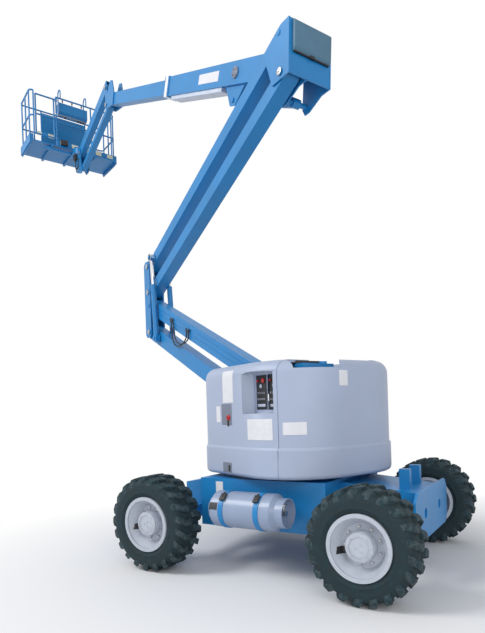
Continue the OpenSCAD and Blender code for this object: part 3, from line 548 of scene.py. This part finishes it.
class LIFT_OT_paint_frame(bpy.types.Operator):
    """Gives every solid of the frame its finish"""

    bl_idname = "lift.paint_frame"
    bl_label = "Paint the frame"

    def execute(self, context):
        make_finishes()
        for key, names in NODE_FINISHES.items():
            for node in names.split():
                solid = frame["nodes"][node]
                solid.data.materials.clear()
                solid.data.materials.append(FINISHES[key])
        return {"FINISHED"}


# Wheels, as [body, joint, tyre node]
WHEELS = [
    ("wheel_fl", "roll_fl", "tyre_front_left"),
    ("wheel_fr", "roll_fr", "tyre_front_right"),
    ("wheel_rl", "roll_rl", "tyre_rear_left"),
    ("wheel_rr", "roll_rr", "tyre_rear_right"),
]


def wheel_place(joint):
    """From a wheel drawn about +Y, with its outer face at +Y, to the real one."""
    middle = pin(joint)
    turn = PART if middle.y > 0 else Matrix.Rotation(math.pi, 4, "Z")
    return Matrix.Translation(middle) @ turn


def tyre_sizes():
    low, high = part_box("tyre_front_left")
    rim_low, rim_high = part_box("wheel_front_left")
    return (high.z - low.z) / 2, (high.y - low.y), (rim_high.z - rim_low.z) / 2


def tyre_carcass(radius, width, seat):
    """The tyre under its lugs, spun from half a section."""
    half = width / 2
    wall = radius - seat
    # Half a section, as shares of the wall's height above the seat and of the half width
    shares = [(0.06, 0.90), (0.22, 0.965), (0.26, 0.99), (0.30, 0.972), (0.5, 0.995), (0.72, 0.97),
              (0.88, 0.90), (1, 0.72)]
    section = [(seat - 0.012, -0.80 * half)] + [(seat + rise * wall, -out * half) for rise, out in shares]
    section.append((radius + 0.006, -0.35 * half))
    section += [(r, -w) for r, w in reversed(section)]
    clear_selection()
    bpy.ops.mesh.primitive_plane_add(size=0.01)
    piece = bpy.context.object
    piece.name = "tyre_carcass"
    mode("EDIT")
    select_all()
    bpy.ops.mesh.merge(type="CENTER")
    here = Vector((0, 0, 0))
    for r, w in section:
        there = Vector((r, w, 0))
        if (r, w) == section[0]:
            bpy.ops.transform.translate(value=there - here)
        else:
            bpy.ops.mesh.extrude_vertices_move(TRANSFORM_OT_translate={"value": there - here})
        here = there
    select_all()
    bpy.ops.mesh.spin(steps=TYRE_STEPS, angle=2 * math.pi, center=(0, 0, 0), axis=(0, 1, 0))
    select_all()
    bpy.ops.mesh.remove_doubles(threshold=2 * MERGE)
    bpy.ops.mesh.normals_make_consistent(inside=False)
    mode("OBJECT")
    smooth(40)
    return piece


def tyre_lug(radius, half, deep):
    """One lug on the +Y half of the tread, at the top of the tyre, extruded over the shoulder."""
    lug = block("lug", (-0.030, 0.010, radius - deep - 0.020), (0.026, 0.45 * half, radius - 0.003))
    mode("EDIT")
    for step in ((0.030, 0.36 * half, -0.003), (0.022, 0.16 * half, -0.045)):
        select_faces(lug, lambda middle, normal: normal.y > 0.6 and middle.y > 0.4 * half)
        bpy.ops.mesh.extrude_region_move(TRANSFORM_OT_translate={"value": step})
    select_all()
    bpy.ops.mesh.normals_make_consistent(inside=False)
    bpy.ops.mesh.bevel(offset=0.004, segments=1, profile=0.5)
    mode("OBJECT")
    return lug


class LIFT_OT_tyres(bpy.types.Operator):
    """Makes the lugged tyres"""

    bl_idname = "lift.tyres"
    bl_label = "Tyres"

    def execute(self, context):
        sizes = context.scene.lift_wheels
        radius, width, seat = tyre_sizes()
        carcass = tyre_carcass(radius - sizes.lug_deep, width, seat)
        lug = tyre_lug(radius, width / 2, sizes.lug_deep)
        lugs = []
        for side in (0, 1):
            half_turn = Matrix.Rotation(math.pi * side, 4, "Z")
            for i in range(sizes.lug_rows):
                step = Matrix.Rotation(2 * math.pi * (i + 0.5 * side) / sizes.lug_rows, 4, "Y")
                lugs.append(copy_of(lug, "lug_copy", step @ half_turn))
        bpy.data.objects.remove(lug)
        tread = join("tyre_tread", lugs)
        smooth(30)
        for body, joint, node in WHEELS:
            for model, words, key in ((carcass, "carcass", "rubber"), (tread, "tread", "lug")):
                piece = copy_of(model, node + "_" + words, wheel_place(joint))
                dress(piece, key, body)
                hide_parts(node)
        for model in (carcass, tread):
            bpy.data.objects.remove(model)
        return {"FINISHED"}


class LIFT_OT_wheel_fittings(bpy.types.Operator):
    """Adds the nuts and hub covers of the wheels, and black plates that paint the shade seen through their
    hand holes
    """

    bl_idname = "lift.wheel_fittings"
    bl_label = "Wheel fittings"

    def execute(self, context):
        sizes = context.scene.lift_wheels
        face = 0.048
        hub_face = 0.120
        nuts = join("wheel_nuts", [
            crosswise("nut", 0.012, x, z, face, face + 0.016, sides=6, bevel=0.002)
            for x, z in ring(sizes.nut_count, sizes.nut_circle)])
        cover = crosswise("hub_cover", 0.098, 0, 0, hub_face, hub_face + 0.012, sides=48, bevel=0.004)
        mode("EDIT")
        select_faces(cover, lambda place, normal: normal.y > 0.9)
        bpy.ops.mesh.inset(thickness=0.022)
        bpy.ops.transform.translate(value=(0, -0.004, 0))
        bpy.ops.mesh.inset(thickness=0.030)
        bpy.ops.transform.translate(value=(0, 0.004, 0))
        mode("OBJECT")
        seat = hub_face + 0.010
        screws = [crosswise("screw", 0.006, x, z, seat, hub_face + 0.017, sides=6) for x, z in ring(8, 0.086)]
        screws += [crosswise("plug", 0.008, x, z, seat, hub_face + 0.016, sides=8) for x, z in ring(3, 0.026)]
        cover = join("hub_cover", [cover] + screws)
        for body, joint, node in WHEELS:
            name = node.replace("tyre_", "wheel_")
            for model, words, key in ((nuts, "nuts", "steel"), (cover, "hub_cover", "rim")):
                dress(copy_of(model, name + "_" + words, wheel_place(joint)), key, body)
            # A black plate over each hand hole paints the shade seen through the hole
            plate_on(name + "_hand_hole", name, wheel_place(joint), (0.158, 0.05, -0.045), (0, 1, 0),
                     (0.056, 0.052), 0.0015, "black", body)
        for model in (nuts, cover):
            bpy.data.objects.remove(model)
        return {"FINISHED"}


# Covers, as [node, body]
COVERS = [("cover_left", "left_cover"), ("cover_right", "right_cover"), ("cover_tail", "turntable")]


class LIFT_OT_covers(bpy.types.Operator):
    """Lays smooth mouldings over the faceted covers"""

    bl_idname = "lift.covers"
    bl_label = "Covers"

    def execute(self, context):
        for node, body in COVERS:
            piece = moulding_of(node, node + "_moulding")
            smooth(28)
            apply_modifier(piece, "WEIGHTED_NORMAL", keep_sharp=True, weight=80)
            dress(piece, "cover", body)
            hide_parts(node)
        return {"FINISHED"}


# Blank plates on the covers, as [node, body, middle, outward, size, finish], in the turntable's frame
COVER_PLATES = [
    ("cover_left", "left_cover", (0.105, 0.75, 1.640), (0, 1, 0), (0.18, 0.29), "label"),
    ("cover_left", "left_cover", (0.285, 0.75, 1.392), (0, 1, 0), (0.075, 0.15), "label"),
    # The recess plates are cover grey in painted shade, standing for the shade in the latch recesses
    ("cover_left", "left_cover", (0.137, 0.75, 1.389), (0, 1, 0), (0.174, 0.193), "recess"),
    ("cover_left", "left_cover", (0.130, 0.75, 0.905), (0, 1, 0), (0.15, 0.09), "recess"),
    ("cover_left", "left_cover", (-0.345, 0.73, 1.254), (-0.2, 1, 0), (0.28, 0.18), "label"),
    ("cover_right", "right_cover", (0.105, -0.75, 1.640), (0, -1, 0), (0.18, 0.29), "label"),
    ("cover_right", "right_cover", (0.137, -0.75, 1.389), (0, -1, 0), (0.174, 0.193), "recess"),
    ("cover_right", "right_cover", (0.130, -0.75, 0.905), (0, -1, 0), (0.15, 0.09), "recess"),
    ("cover_tail", "turntable", (-0.631, 0.566, 1.258), (-0.72, 0.70, 0), (0.20, 0.105), "label"),
    ("cover_tail", "turntable", (-0.799, 0.161, 1.668), (-1, 0, 0), (0.09, 0.13), "label"),
]


class LIFT_OT_cover_fittings(bpy.types.Operator):
    """Adds blank plates, darker plates that paint the shade of the latch recesses, latches and handles to the
    covers
    """

    bl_idname = "lift.cover_fittings"
    bl_label = "Cover fittings"

    def execute(self, context):
        thick = context.scene.lift_fittings.plate_thick
        for i, (node, body, middle, outward, size, key) in enumerate(COVER_PLATES):
            plate_on(f"{node}_plate_{i}", node, TURN, middle, outward, size, thick, key, body)
        for side, body in ((1, "left_cover"), (-1, "right_cover")):
            face = side * 0.752
            knob = crosswise("latch_knob", 0.026, 0.097, 1.359, face, face + side * 0.010, bevel=0.003)
            mode("EDIT")
            select_faces(knob, lambda middle, normal: side * normal.y > 0.9)
            bpy.ops.mesh.inset(thickness=0.010)
            bpy.ops.mesh.extrude_region_move(TRANSFORM_OT_translate={"value": (0, side * 0.004, 0)})
            mode("OBJECT")
            fit(knob, TURN, "knob", body)
            levers = []
            for x, z, skin in ((0.107, 1.310, face), (0.090, 0.900, face + side * 0.014)):
                levers.append(block("latch_lever", (x - 0.012, min(skin, skin + side * 0.009), z - 0.028),
                                    (x + 0.012, max(skin, skin + side * 0.009), z + 0.028), bevel=0.004))
            fit(join("latch_levers", levers), TURN, "black", body)
        return {"FINISHED"}


def panel_face(name, low, high, face, body):
    """Switches, a stop button, a gauge and a blank plate on an upright panel that faces left."""
    wide, tall = high[0] - low[0], high[2] - low[2]

    def at(u, v, out):
        return (low[0] + u * wide, face + out, low[2] + v * tall)

    switches = []
    for row in (0.30, 0.48):
        for u in (0.2, 0.4, 0.6, 0.8):
            switches.append(round_bar("boot", 0.009, at(u, row, 0), at(u, row, 0.005), sides=12, bevel=0.001))
            switches.append(round_bar("lever", 0.004, at(u, row, 0.004), at(u, row + 0.02, 0.013), sides=8))
    fit(join(name + "_switches", switches), TURN, "steel", body)
    stop = round_bar("stop", 0.022, at(0.26, 0.84, 0.005), at(0.26, 0.84, 0.013), sides=24, bevel=0.004)
    collar = round_bar("collar", 0.015, at(0.26, 0.84, 0), at(0.26, 0.84, 0.007), sides=16)
    key = round_bar("key", 0.011, at(0.82, 0.84, 0), at(0.82, 0.84, 0.012), sides=16, bevel=0.002)
    fit(join(name + "_stop", [stop, collar, key]), TURN, "knob", body)
    gauge = round_bar("gauge", 0.018, at(0.52, 0.68, 0), at(0.52, 0.68, 0.006), sides=24, bevel=0.002)
    plate = block("plate", at(0.12, 0.08, 0), at(0.88, 0.16, 0.002), bevel=0.0008)
    fit(join(name + "_gauge", [gauge, plate]), TURN, "tray", body)


class LIFT_OT_ground_panel(bpy.types.Operator):
    """Adds the control panels in the left cover's recess and the trim on the hydraulic tank"""

    bl_idname = "lift.ground_panel"
    bl_label = "Ground panel"

    def execute(self, context):
        low, high = end_face("ground_controls", TURN, 1, 1)
        panel_face("ground", low, high, high.y, "turntable")
        wall = high.y + 0.020
        side_low, side_high = (high.x + 0.002, wall, low.z + 0.004), (high.x + 0.152, wall, high.z - 0.002)
        side = block("side_panel", side_low, (side_high[0], wall + 0.005, side_high[2]), bevel=0.0015)
        fit(side, TURN, "black", "left_cover")
        panel_face("side_panel", side_low, side_high, wall + 0.005, "left_cover")
        tank_low, tank_high = node_box("hydraulic_tank", TURN)
        trim = block("tail_trim", (tank_high.x - 0.016, tank_low.y + 0.01, tank_high.z - 0.045),
                     (tank_high.x - 0.006, tank_high.y - 0.01, tank_high.z + 0.008), bevel=0.002)
        fit(trim, TURN, "black", "turntable")
        return {"FINISHED"}


class LIFT_OT_tank_fittings(bpy.types.Operator):
    """Adds the valve, clamps and blank plates of the gas tank"""

    bl_idname = "lift.tank_fittings"
    bl_label = "Tank fittings"

    def execute(self, context):
        low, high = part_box("gas_tank")
        middle = (low + high) / 2
        straps_low, straps_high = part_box("tank_straps")
        skin = middle.y - straps_low.y
        clamps = []
        for x in (straps_low.x + 0.030, straps_high.x - 0.030):
            clamps += [
                block("clamp", (x - 0.026, -skin - 0.014, -0.036),
                      (x + 0.026, -skin + 0.004, 0.036), bevel=0.004),
                upright("clamp_bolt", 0.007, x, -skin - 0.010, -0.048, 0.048, sides=10, bevel=0.001),
            ]
        raised = Matrix.Translation((0, middle.y, middle.z)) @ Matrix.Rotation(math.radians(-48), 4, "X")
        fit(join("tank_clamps", clamps), raised, "black", "chassis")
        x, y, z = high.x - 0.045, middle.y, middle.z
        valve = [round_bar("valve", 0.022, (x - 0.02, y, z), (x + 0.028, y, z), bevel=0.003),
                 upright("valve", 0.014, x, y, z, z + 0.06, bevel=0.002),
                 upright("valve", 0.030, x, y, z + 0.055, z + 0.072, bevel=0.004)]
        dress(join("tank_valve", valve), "steel", "chassis")
        near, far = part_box("chassis_frame")
        # Blank plates, as [name, node, middle, outward, size, finish]
        plates = [
            ("tank_plate", "gas_tank", (low.x + 0.075, low.y, z + 0.05), (0, -1, 0.5), (0.09, 0.06), "dark"),
            ("chassis_plate", "chassis_frame", (low.x - 0.10, near.y, far.z - 0.09), (0, -1, 0), (0.08, 0.12),
             "label"),
            ("chassis_plate_far", "chassis_frame", (0, far.y, far.z - 0.06), (0, 1, 0), (0.26, 0.07),
             "label"),
        ]
        for name, node, place, outward, size, key in plates:
            plate_on(name, node, PART, place, outward, size, 0.002, key, "chassis")
        return {"FINISHED"}


# Pins of the boom, as [joint at the pin, node whose outer faces it ends on, body]
PINS = [
    ("riser", "riser_bracket", "turntable"), ("riser_top", "riser_bracket", "turntable"),
    ("riser_elbow", "elbow", "elbow_body"), ("riser_upper_a", "elbow", "elbow_body"),
    ("riser_upper_b", "elbow", "elbow_body"), ("riser_pivot", "upper_pivot", "pivot"),
    ("primary_lift", "upper_pivot", "pivot"), ("jib_level_head", "primary_extension", "extension"),
    ("jib_lift", "jib_knuckle", "knuckle_head"), ("mount_level", "platform_mount", "mount_body"),
]


class LIFT_OT_pin_caps(bpy.types.Operator):
    """Caps the ends of the boom's pins"""

    bl_idname = "lift.pin_caps"
    bl_label = "Pin caps"

    def execute(self, context):
        radius = context.scene.lift_fittings.cap_radius
        for joint, node, body in PINS:
            middle = side_view(pin(joint))
            near = [p for p in node_points(node, TURN) if math.hypot(p.x - middle.x, p.z - middle.z) < 0.05]
            caps = []
            for side in (1, -1):
                edge = side * max(side * p.y for p in near)
                if side * (edge - middle.y) > 0.02:
                    caps.append(pin_cap("cap", (middle.x, edge, middle.z), (0, side, 0), radius))
            fit(join(joint + "_pin_caps", caps), TURN, "steel", body)
        return {"FINISHED"}


class LIFT_OT_pivot_cap(bpy.types.Operator):
    """Makes the moulded cap behind the upper pivot"""

    bl_idname = "lift.pivot_cap"
    bl_label = "Pivot cap"

    def execute(self, context):
        piece = moulding_of("upper_pivot_cap", "pivot_cap_moulding")
        low, high = node_box("upper_pivot_cap", TURN)
        mode("EDIT")
        select_all()
        bpy.ops.mesh.dissolve_limited(angle_limit=math.radians(1))
        select_all()
        bpy.ops.mesh.bevel(offset=0.009, segments=3, profile=0.5)
        mode("OBJECT")
        smooth(35)
        dress(piece, "cap", "pivot")
        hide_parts("upper_pivot_cap")
        # A black strip along the cap's lower edge paints the shadow under the cap; the black latch sits at
        # its middle
        cap_bottom_low, cap_bottom_high = end_face("upper_pivot_cap", TURN, 2, -1)
        shadow_strip = block("cap_lip", (cap_bottom_low.x - 0.008, low.y + 0.012, cap_bottom_low.z - 0.005),
                    (cap_bottom_high.x - 0.004, high.y - 0.012, cap_bottom_low.z + 0.040), bevel=0.004)
        middle = (low.y + high.y) / 2
        latch = block("cap_latch", (cap_bottom_low.x - 0.016, middle - 0.03, cap_bottom_low.z - 0.008),
                      (cap_bottom_low.x + 0.012, middle + 0.03, cap_bottom_low.z + 0.075), bevel=0.005)
        fit(join("cap_lip", [shadow_strip, latch]), TURN, "black", "pivot")
        return {"FINISHED"}


class LIFT_OT_riser_fittings(bpy.types.Operator):
    """Adds the hoses, their clips and the side strips of the riser"""

    bl_idname = "lift.riser_fittings"
    bl_label = "Riser fittings"

    def execute(self, context):
        radius = context.scene.lift_fittings.hose_radius
        start, end = side_view(pin("riser")), side_view(pin("riser_elbow"))
        lift = math.atan2(end.z - start.z, end.x - start.x)
        link = Matrix.Translation(pin("riser_top")) @ TURN @ Matrix.Rotation(-lift, 4, "Y")
        high = node_box("lower_link_top", link)[1]
        strips = [
            block("strip", (0.9, high.y - 0.001, z), (high.x - 0.30, high.y + 0.004, z + 0.012), bevel=0.001)
            for z in (-0.028, 0.030)]
        fit(join("link_strips", strips), link, "paint", "low_link_b")
        y = high.y + 0.016
        hoses = []
        for start, deep in ((2.66, -0.27), (2.60, -0.22)):
            hoses.append(hose("riser_hose", [
                (start + 0.10, y, 0.02), (start + 0.04, y, -0.04), (start - 0.02, y + 0.008, 0.6 * deep),
                (start - 0.14, y + 0.012, deep), (start - 0.30, y + 0.012, 0.95 * deep),
                (start - 0.44, y + 0.008, 0.5 * deep), (start - 0.44, y, -0.05), (start - 0.38, y, 0.02),
            ], radius * 0.9))
        fit(join("riser_hoses", hoses), link, "hose", "low_link_b")
        clips = [block("hose_clip", (x, high.y - 0.001, 0.004), (x + 0.05, y + 0.010, 0.026), bevel=0.003)
                 for x in (2.18, 2.68)]
        fit(join("hose_clips", clips), link, "dark", "low_link_b")
        return {"FINISHED"}


class LIFT_OT_boom_fittings(bpy.types.Operator):
    """Adds the collar's band and bolts, the side boss and the base's side plates"""

    bl_idname = "lift.boom_fittings"
    bl_label = "Boom fittings"

    def execute(self, context):
        low, high = end_face("primary_base", PRIMARY, 0, 1)
        x0, x1, skin = high.x - 0.115, high.x - 0.030, 0.002
        band = [
            block("band", (x0, low.y, high.z), (x1, high.y, high.z + skin), bevel=0.0008),
            block("band", (x0, low.y, low.z - skin), (x1, high.y, low.z), bevel=0.0008),
            block("band", (x0, high.y, low.z), (x1, high.y + skin, high.z), bevel=0.0008),
            block("band", (x0, low.y - skin, low.z), (x1, low.y, high.z), bevel=0.0008),
        ]
        fit(join("collar_band", band), PRIMARY, "band", "primary")
        bolts = []
        for x in (high.x - 0.018, high.x - 0.132):
            for z in (low.z * 0.6, high.z * 0.6):
                for start, end in ((high.y, high.y + 0.010), (low.y, low.y - 0.010)):
                    bolts.append(crosswise("bolt", 0.009, x, z, start, end, sides=6, bevel=0.001))
        fit(join("collar_bolts", bolts), PRIMARY, "steel", "primary")
        boss_x = 1.24
        inward = PRIMARY.to_3x3() @ Vector((0, -1, 0))
        found, place, _, _ = frame["nodes"]["primary_base"].ray_cast(PRIMARY @ Vector((boss_x, 1, 0)), inward)
        if not found:
            raise RuntimeError("the base has no side face at the boss")
        side_y = (PRIMARY.inverted() @ place).y
        boss = [crosswise("boss", 0.062, boss_x, 0, side_y - 0.001, side_y + 0.016, sides=40, bevel=0.003)]
        for x, z in ring(4, 0.042, start=0.5):
            boss.append(crosswise(
                "bolt", 0.008, boss_x + x, z, side_y + 0.012, side_y + 0.024, sides=6, bevel=0.001))
        # The side boss takes the same darkened cover grey as the painted recess shade
        fit(join("side_boss", boss), PRIMARY, "recess", "primary")
        for side in (1, -1):
            edge = high.y if side > 0 else low.y
            plate_on(f"boom_plate_{side}", "primary_base", PRIMARY, (1.9, edge, 0.0), (0, side, 0),
                     (0.52, 0.11), 0.002, "label", "primary")
        return {"FINISHED"}


class LIFT_OT_jib_fittings(bpy.types.Operator):
    """Adds the hoses and the rotator's box at the jib's lower end"""

    bl_idname = "lift.jib_fittings"
    bl_label = "Jib fittings"

    def execute(self, context):
        radius = context.scene.lift_fittings.hose_radius
        low, high = node_box("platform_mount", TURN)
        joint = side_view(pin("mount_level"))
        post = side_view(pin("platform_turn"))
        hoses = []
        for i, side in enumerate((1, 1, -1)):
            y = (high.y if side > 0 else low.y) + side * 0.014
            shift = 0.03 * i
            hoses.append(hose("mount_hose", [
                (post.x - 0.05, y - side * 0.02, post.z - 0.10), (post.x - 0.08, y, post.z - 0.22 - shift),
                (post.x - 0.13, y + side * 0.02, post.z - 0.36 - shift),
                (joint.x + 0.02 + shift, y + side * 0.03, low.z + 0.02),
                (joint.x - 0.10, y + side * 0.02, low.z + 0.12 + shift), (joint.x - 0.02, y, joint.z - 0.10),
            ], radius))
        fit(join("mount_hoses", hoses), TURN, "hose", "mount_body")
        box = block("rotator_box", (post.x - 0.16, high.y - 0.012, post.z - 0.24),
                    (post.x - 0.03, high.y + 0.045, post.z - 0.13), bevel=0.006)
        fit(box, TURN, "black", "mount_body")
        return {"FINISHED"}


class LIFT_OT_platform_fittings(bpy.types.Operator):
    """Adds the stripes, the valve box, the end rods, the floor's beam and its mat"""

    bl_idname = "lift.platform_fittings"
    bl_label = "Platform fittings"

    def execute(self, context):
        low, high = node_box("platform_floor", PLATFORM)
        rails_low = node_box("platform_rails", PLATFORM)[0]
        near = rails_low.x - 0.0123
        floor = rails_low.z
        gate = (PLATFORM.inverted() @ GATE_POST).y
        stripes = block("toe_stripes", (near - 0.0022, low.y + 0.02, floor + 0.02),
                        (near - 0.0002, gate - 0.05, high.z - 0.01), bevel=0.0008)
        fit(stripes, PLATFORM, "stripes", "platform")
        gate_low, gate_high = node_box("platform_gate", PLATFORM)
        gate_middle = (gate_low.x + gate_high.x) / 2
        kick = block("gate_stripes", (gate_middle - 0.003, gate_low.y + 0.04, gate_low.z + 0.004),
                     (gate_middle + 0.003, gate_high.y - 0.04, gate_low.z + 0.085), bevel=0.001)
        fit(kick, PLATFORM, "stripes", "gate")
        valve = block("valve_box", (near - 0.075, 0.17, floor + 0.015),
                      (near - 0.001, 0.31, floor + 0.115), bevel=0.008)
        fit(valve, PLATFORM, "black", "platform")
        under = floor - 0.06
        rod_z = under - 0.022
        rods = []
        for y in (low.y + 0.03, high.y - 0.03):
            rods.append(round_bar(
                "rod", 0.011, (near + 0.04, y, rod_z), (high.x - 0.04, y, rod_z), bevel=0.003))
            for x in (near + 0.06, high.x - 0.06):
                rods.append(upright("rod", 0.009, x, y, rod_z, under + 0.004, sides=12))
        fit(join("end_rods", rods), PLATFORM, "paint", "platform")
        beam = block("floor_beam", (near + 0.03, 0.08, under - 0.045),
                     (near + 0.10, high.y - 0.30, under + 0.002), bevel=0.006)
        fit(beam, PLATFORM, "paint", "platform")
        mat = block("floor_mat", (near + 0.05, low.y + 0.06, floor),
                    (high.x - 0.05, high.y - 0.06, floor + 0.003), bevel=0.001)
        fit(mat, PLATFORM, "dark", "platform")
        return {"FINISHED"}


class LIFT_OT_platform_controls(bpy.types.Operator):
    """Adds the sticks, buttons and sockets of the platform's control box"""

    bl_idname = "lift.platform_controls"
    bl_label = "Platform controls"

    def execute(self, context):
        low, high = node_box("platform_controls", PLATFORM)
        middle = (low + high) / 2
        top = high.z
        x = middle.x
        console = block("console_plate", (low.x + 0.012, low.y + 0.015, top),
                        (high.x - 0.012, high.y - 0.015, top + 0.004), bevel=0.0015)
        under = block("console_base", (low.x + 0.05, low.y + 0.01, low.z - 0.010),
                      (high.x - 0.05, high.y - 0.01, low.z + 0.002), bevel=0.003)
        fit(join("console_plate", [console, under]), PLATFORM, "rim", "platform")
        parts = []
        for y in (low.y + 0.10, middle.y, high.y - 0.10):
            parts.append(upright("boot", 0.026, x, y, top + 0.003, top + 0.014, bevel=0.003))
            parts.append(upright("stick", 0.007, x, y, top + 0.012, top + 0.075, sides=12))
            parts.append(upright("grip", 0.014, x, y, top + 0.065, top + 0.105, sides=16, bevel=0.004))
        for y in (low.y + 0.06, low.y + 0.12, low.y + 0.18, high.y - 0.15):
            parts.append(upright("socket", 0.016, x, y, low.z - 0.045, low.z - 0.004, sides=16, bevel=0.003))
        fit(join("console_sticks", parts), PLATFORM, "black", "platform")
        stop = upright("console_stop", 0.020, x, middle.y + 0.10, top + 0.003, top + 0.026, bevel=0.005)
        fit(stop, PLATFORM, "knob", "platform")
        return {"FINISHED"}


def seen_rays(tree):
    """A socket that is 1 for what the camera, a reflection or glass sees, and 0 for light."""
    path = add(tree, "LightPath")
    socket = path.outputs["Is Camera Ray"]
    for name in ("Is Glossy Ray", "Is Transmission Ray"):
        either = add(tree, "Math")
        either.operation = "MAXIMUM"
        tree.links.new(socket, either.inputs[0])
        tree.links.new(path.outputs[name], either.inputs[1])
        socket = either.outputs["Value"]
    return socket


class LIFT_OT_stage(bpy.types.Operator):
    """Sets the floor, the light and the camera"""

    bl_idname = "lift.stage"
    bl_label = "Stage"

    def execute(self, context):
        scene = context.scene
        view = scene.lift_stage
        clear_selection()
        bpy.ops.mesh.primitive_plane_add(size=120, location=(0, 0, 0))
        floor = bpy.context.object
        floor.name = "studio_floor"
        ground = bpy.data.materials.new("pale_floor")
        ground.use_nodes = True
        tree = ground.node_tree
        shader = fill(tree.nodes["Principled BSDF"], Base_Color=(0.86, 0.86, 0.87, 1), Roughness=0.9)
        away = add(tree, "VectorMath")
        away.operation = "LENGTH"
        coord = add(tree, "TexCoord")
        tree.links.new(coord.outputs["Object"], away.inputs[0])
        fade = add(tree, "MapRange", From_Min=1.6, From_Max=4.2)
        tree.links.new(away.outputs["Value"], fade.inputs["Value"])
        share = add(tree, "Math")
        share.operation = "MULTIPLY"
        tree.links.new(fade.outputs["Result"], share.inputs[0])
        tree.links.new(seen_rays(tree), share.inputs[1])
        white = add(tree, "Emission", Color=WHITE)
        blend = add(tree, "MixShader")
        tree.links.new(share.outputs["Value"], blend.inputs["Fac"])
        tree.links.new(shader.outputs["BSDF"], blend.inputs[1])
        tree.links.new(white.outputs["Emission"], blend.inputs[2])
        tree.links.new(blend.outputs["Shader"], tree.nodes["Material Output"].inputs["Surface"])
        floor.data.materials.append(ground)

        world = bpy.data.worlds.new("studio")
        scene.world = world
        world.use_nodes = True
        tree = world.node_tree
        background = fill(tree.nodes["Background"], Color=(0.86, 0.90, 0.96, 1), Strength=view.sky)
        plain = add(tree, "Background", Color=WHITE)
        mix = add(tree, "MixShader")
        tree.links.new(seen_rays(tree), mix.inputs["Fac"])
        tree.links.new(background.outputs["Background"], mix.inputs[1])
        tree.links.new(plain.outputs["Background"], mix.inputs[2])
        tree.links.new(mix.outputs["Shader"], tree.nodes["World Output"].inputs["Surface"])

        # Lamps, as [name, place, aim, size, power]
        lamps = [
            ("key_light", (-9.0, -9.0, 12.0), (-1.5, 0.0, 3.0), 6.0, view.key_power),
            ("fill_light", (7.0, -8.0, 5.0), (0.0, 0.0, 2.0), 7.0, view.fill_power),
        ]
        for name, place, aim, size, power in lamps:
            bpy.ops.object.light_add(type="AREA", location=place)
            lamp = bpy.context.object
            lamp.name = name
            lamp.data.size = size
            lamp.data.energy = power
            lamp.rotation_euler = (Vector(aim) - Vector(place)).to_track_quat("-Z", "Y").to_euler()

        bpy.ops.object.camera_add()
        camera = bpy.context.object
        camera.name = "photo_camera"
        camera.data.lens = view.lens
        camera.data.sensor_width = 36
        camera.data.shift_x, camera.data.shift_y = view.shift
        level = math.cos(view.pitch)
        ahead = Vector((math.sin(view.heading) * level, math.cos(view.heading) * level, math.sin(view.pitch)))
        right = Vector((math.cos(view.heading), -math.sin(view.heading), 0))
        up = right.cross(ahead)
        leaned_right = math.cos(view.roll) * right + math.sin(view.roll) * up
        leaned_up = -math.sin(view.roll) * right + math.cos(view.roll) * up
        pose = Matrix((leaned_right, leaned_up, -ahead)).transposed().to_4x4()
        camera.matrix_world = Matrix.Translation(Vector(view.eye)) @ pose
        scene.camera = camera
        scene.view_settings.view_transform = "Standard"
        return {"FINISHED"}


OPERATORS = [
    LIFT_OT_paint_frame,
    LIFT_OT_tyres,
    LIFT_OT_wheel_fittings,
    LIFT_OT_covers,
    LIFT_OT_cover_fittings,
    LIFT_OT_ground_panel,
    LIFT_OT_tank_fittings,
    LIFT_OT_pin_caps,
    LIFT_OT_pivot_cap,
    LIFT_OT_riser_fittings,
    LIFT_OT_boom_fittings,
    LIFT_OT_jib_fittings,
    LIFT_OT_platform_fittings,
    LIFT_OT_platform_controls,
    LIFT_OT_stage,
]


class LIFT_PT_panel(bpy.types.Panel):
    """Lists the lift's settings and steps"""

    bl_idname = "LIFT_PT_panel"
    bl_label = "Boom Lift"
    bl_space_type = "VIEW_3D"
    bl_region_type = "UI"
    bl_category = "Boom Lift"

    def draw(self, context):
        for name, group in SETTINGS.items():
            box = self.layout.box()
            for prop in group.__annotations__:
                box.prop(getattr(context.scene, name), prop)
        for step in OPERATORS:
            self.layout.operator(step.bl_idname)


def register():
    for name, group in SETTINGS.items():
        bpy.utils.register_class(group)
        setattr(bpy.types.Scene, name, bpy.props.PointerProperty(type=group))
    for step in OPERATORS + [LIFT_PT_panel]:
        bpy.utils.register_class(step)


def unregister():
    for step in reversed(OPERATORS + [LIFT_PT_panel]):
        bpy.utils.unregister_class(step)
    for name, group in SETTINGS.items():
        delattr(bpy.types.Scene, name)
        bpy.utils.unregister_class(group)


def main():
    register()
    for step in OPERATORS:
        area, verb = step.bl_idname.split(".")
        getattr(getattr(bpy.ops, area), verb)()


if __name__ == "__main__":
    main()
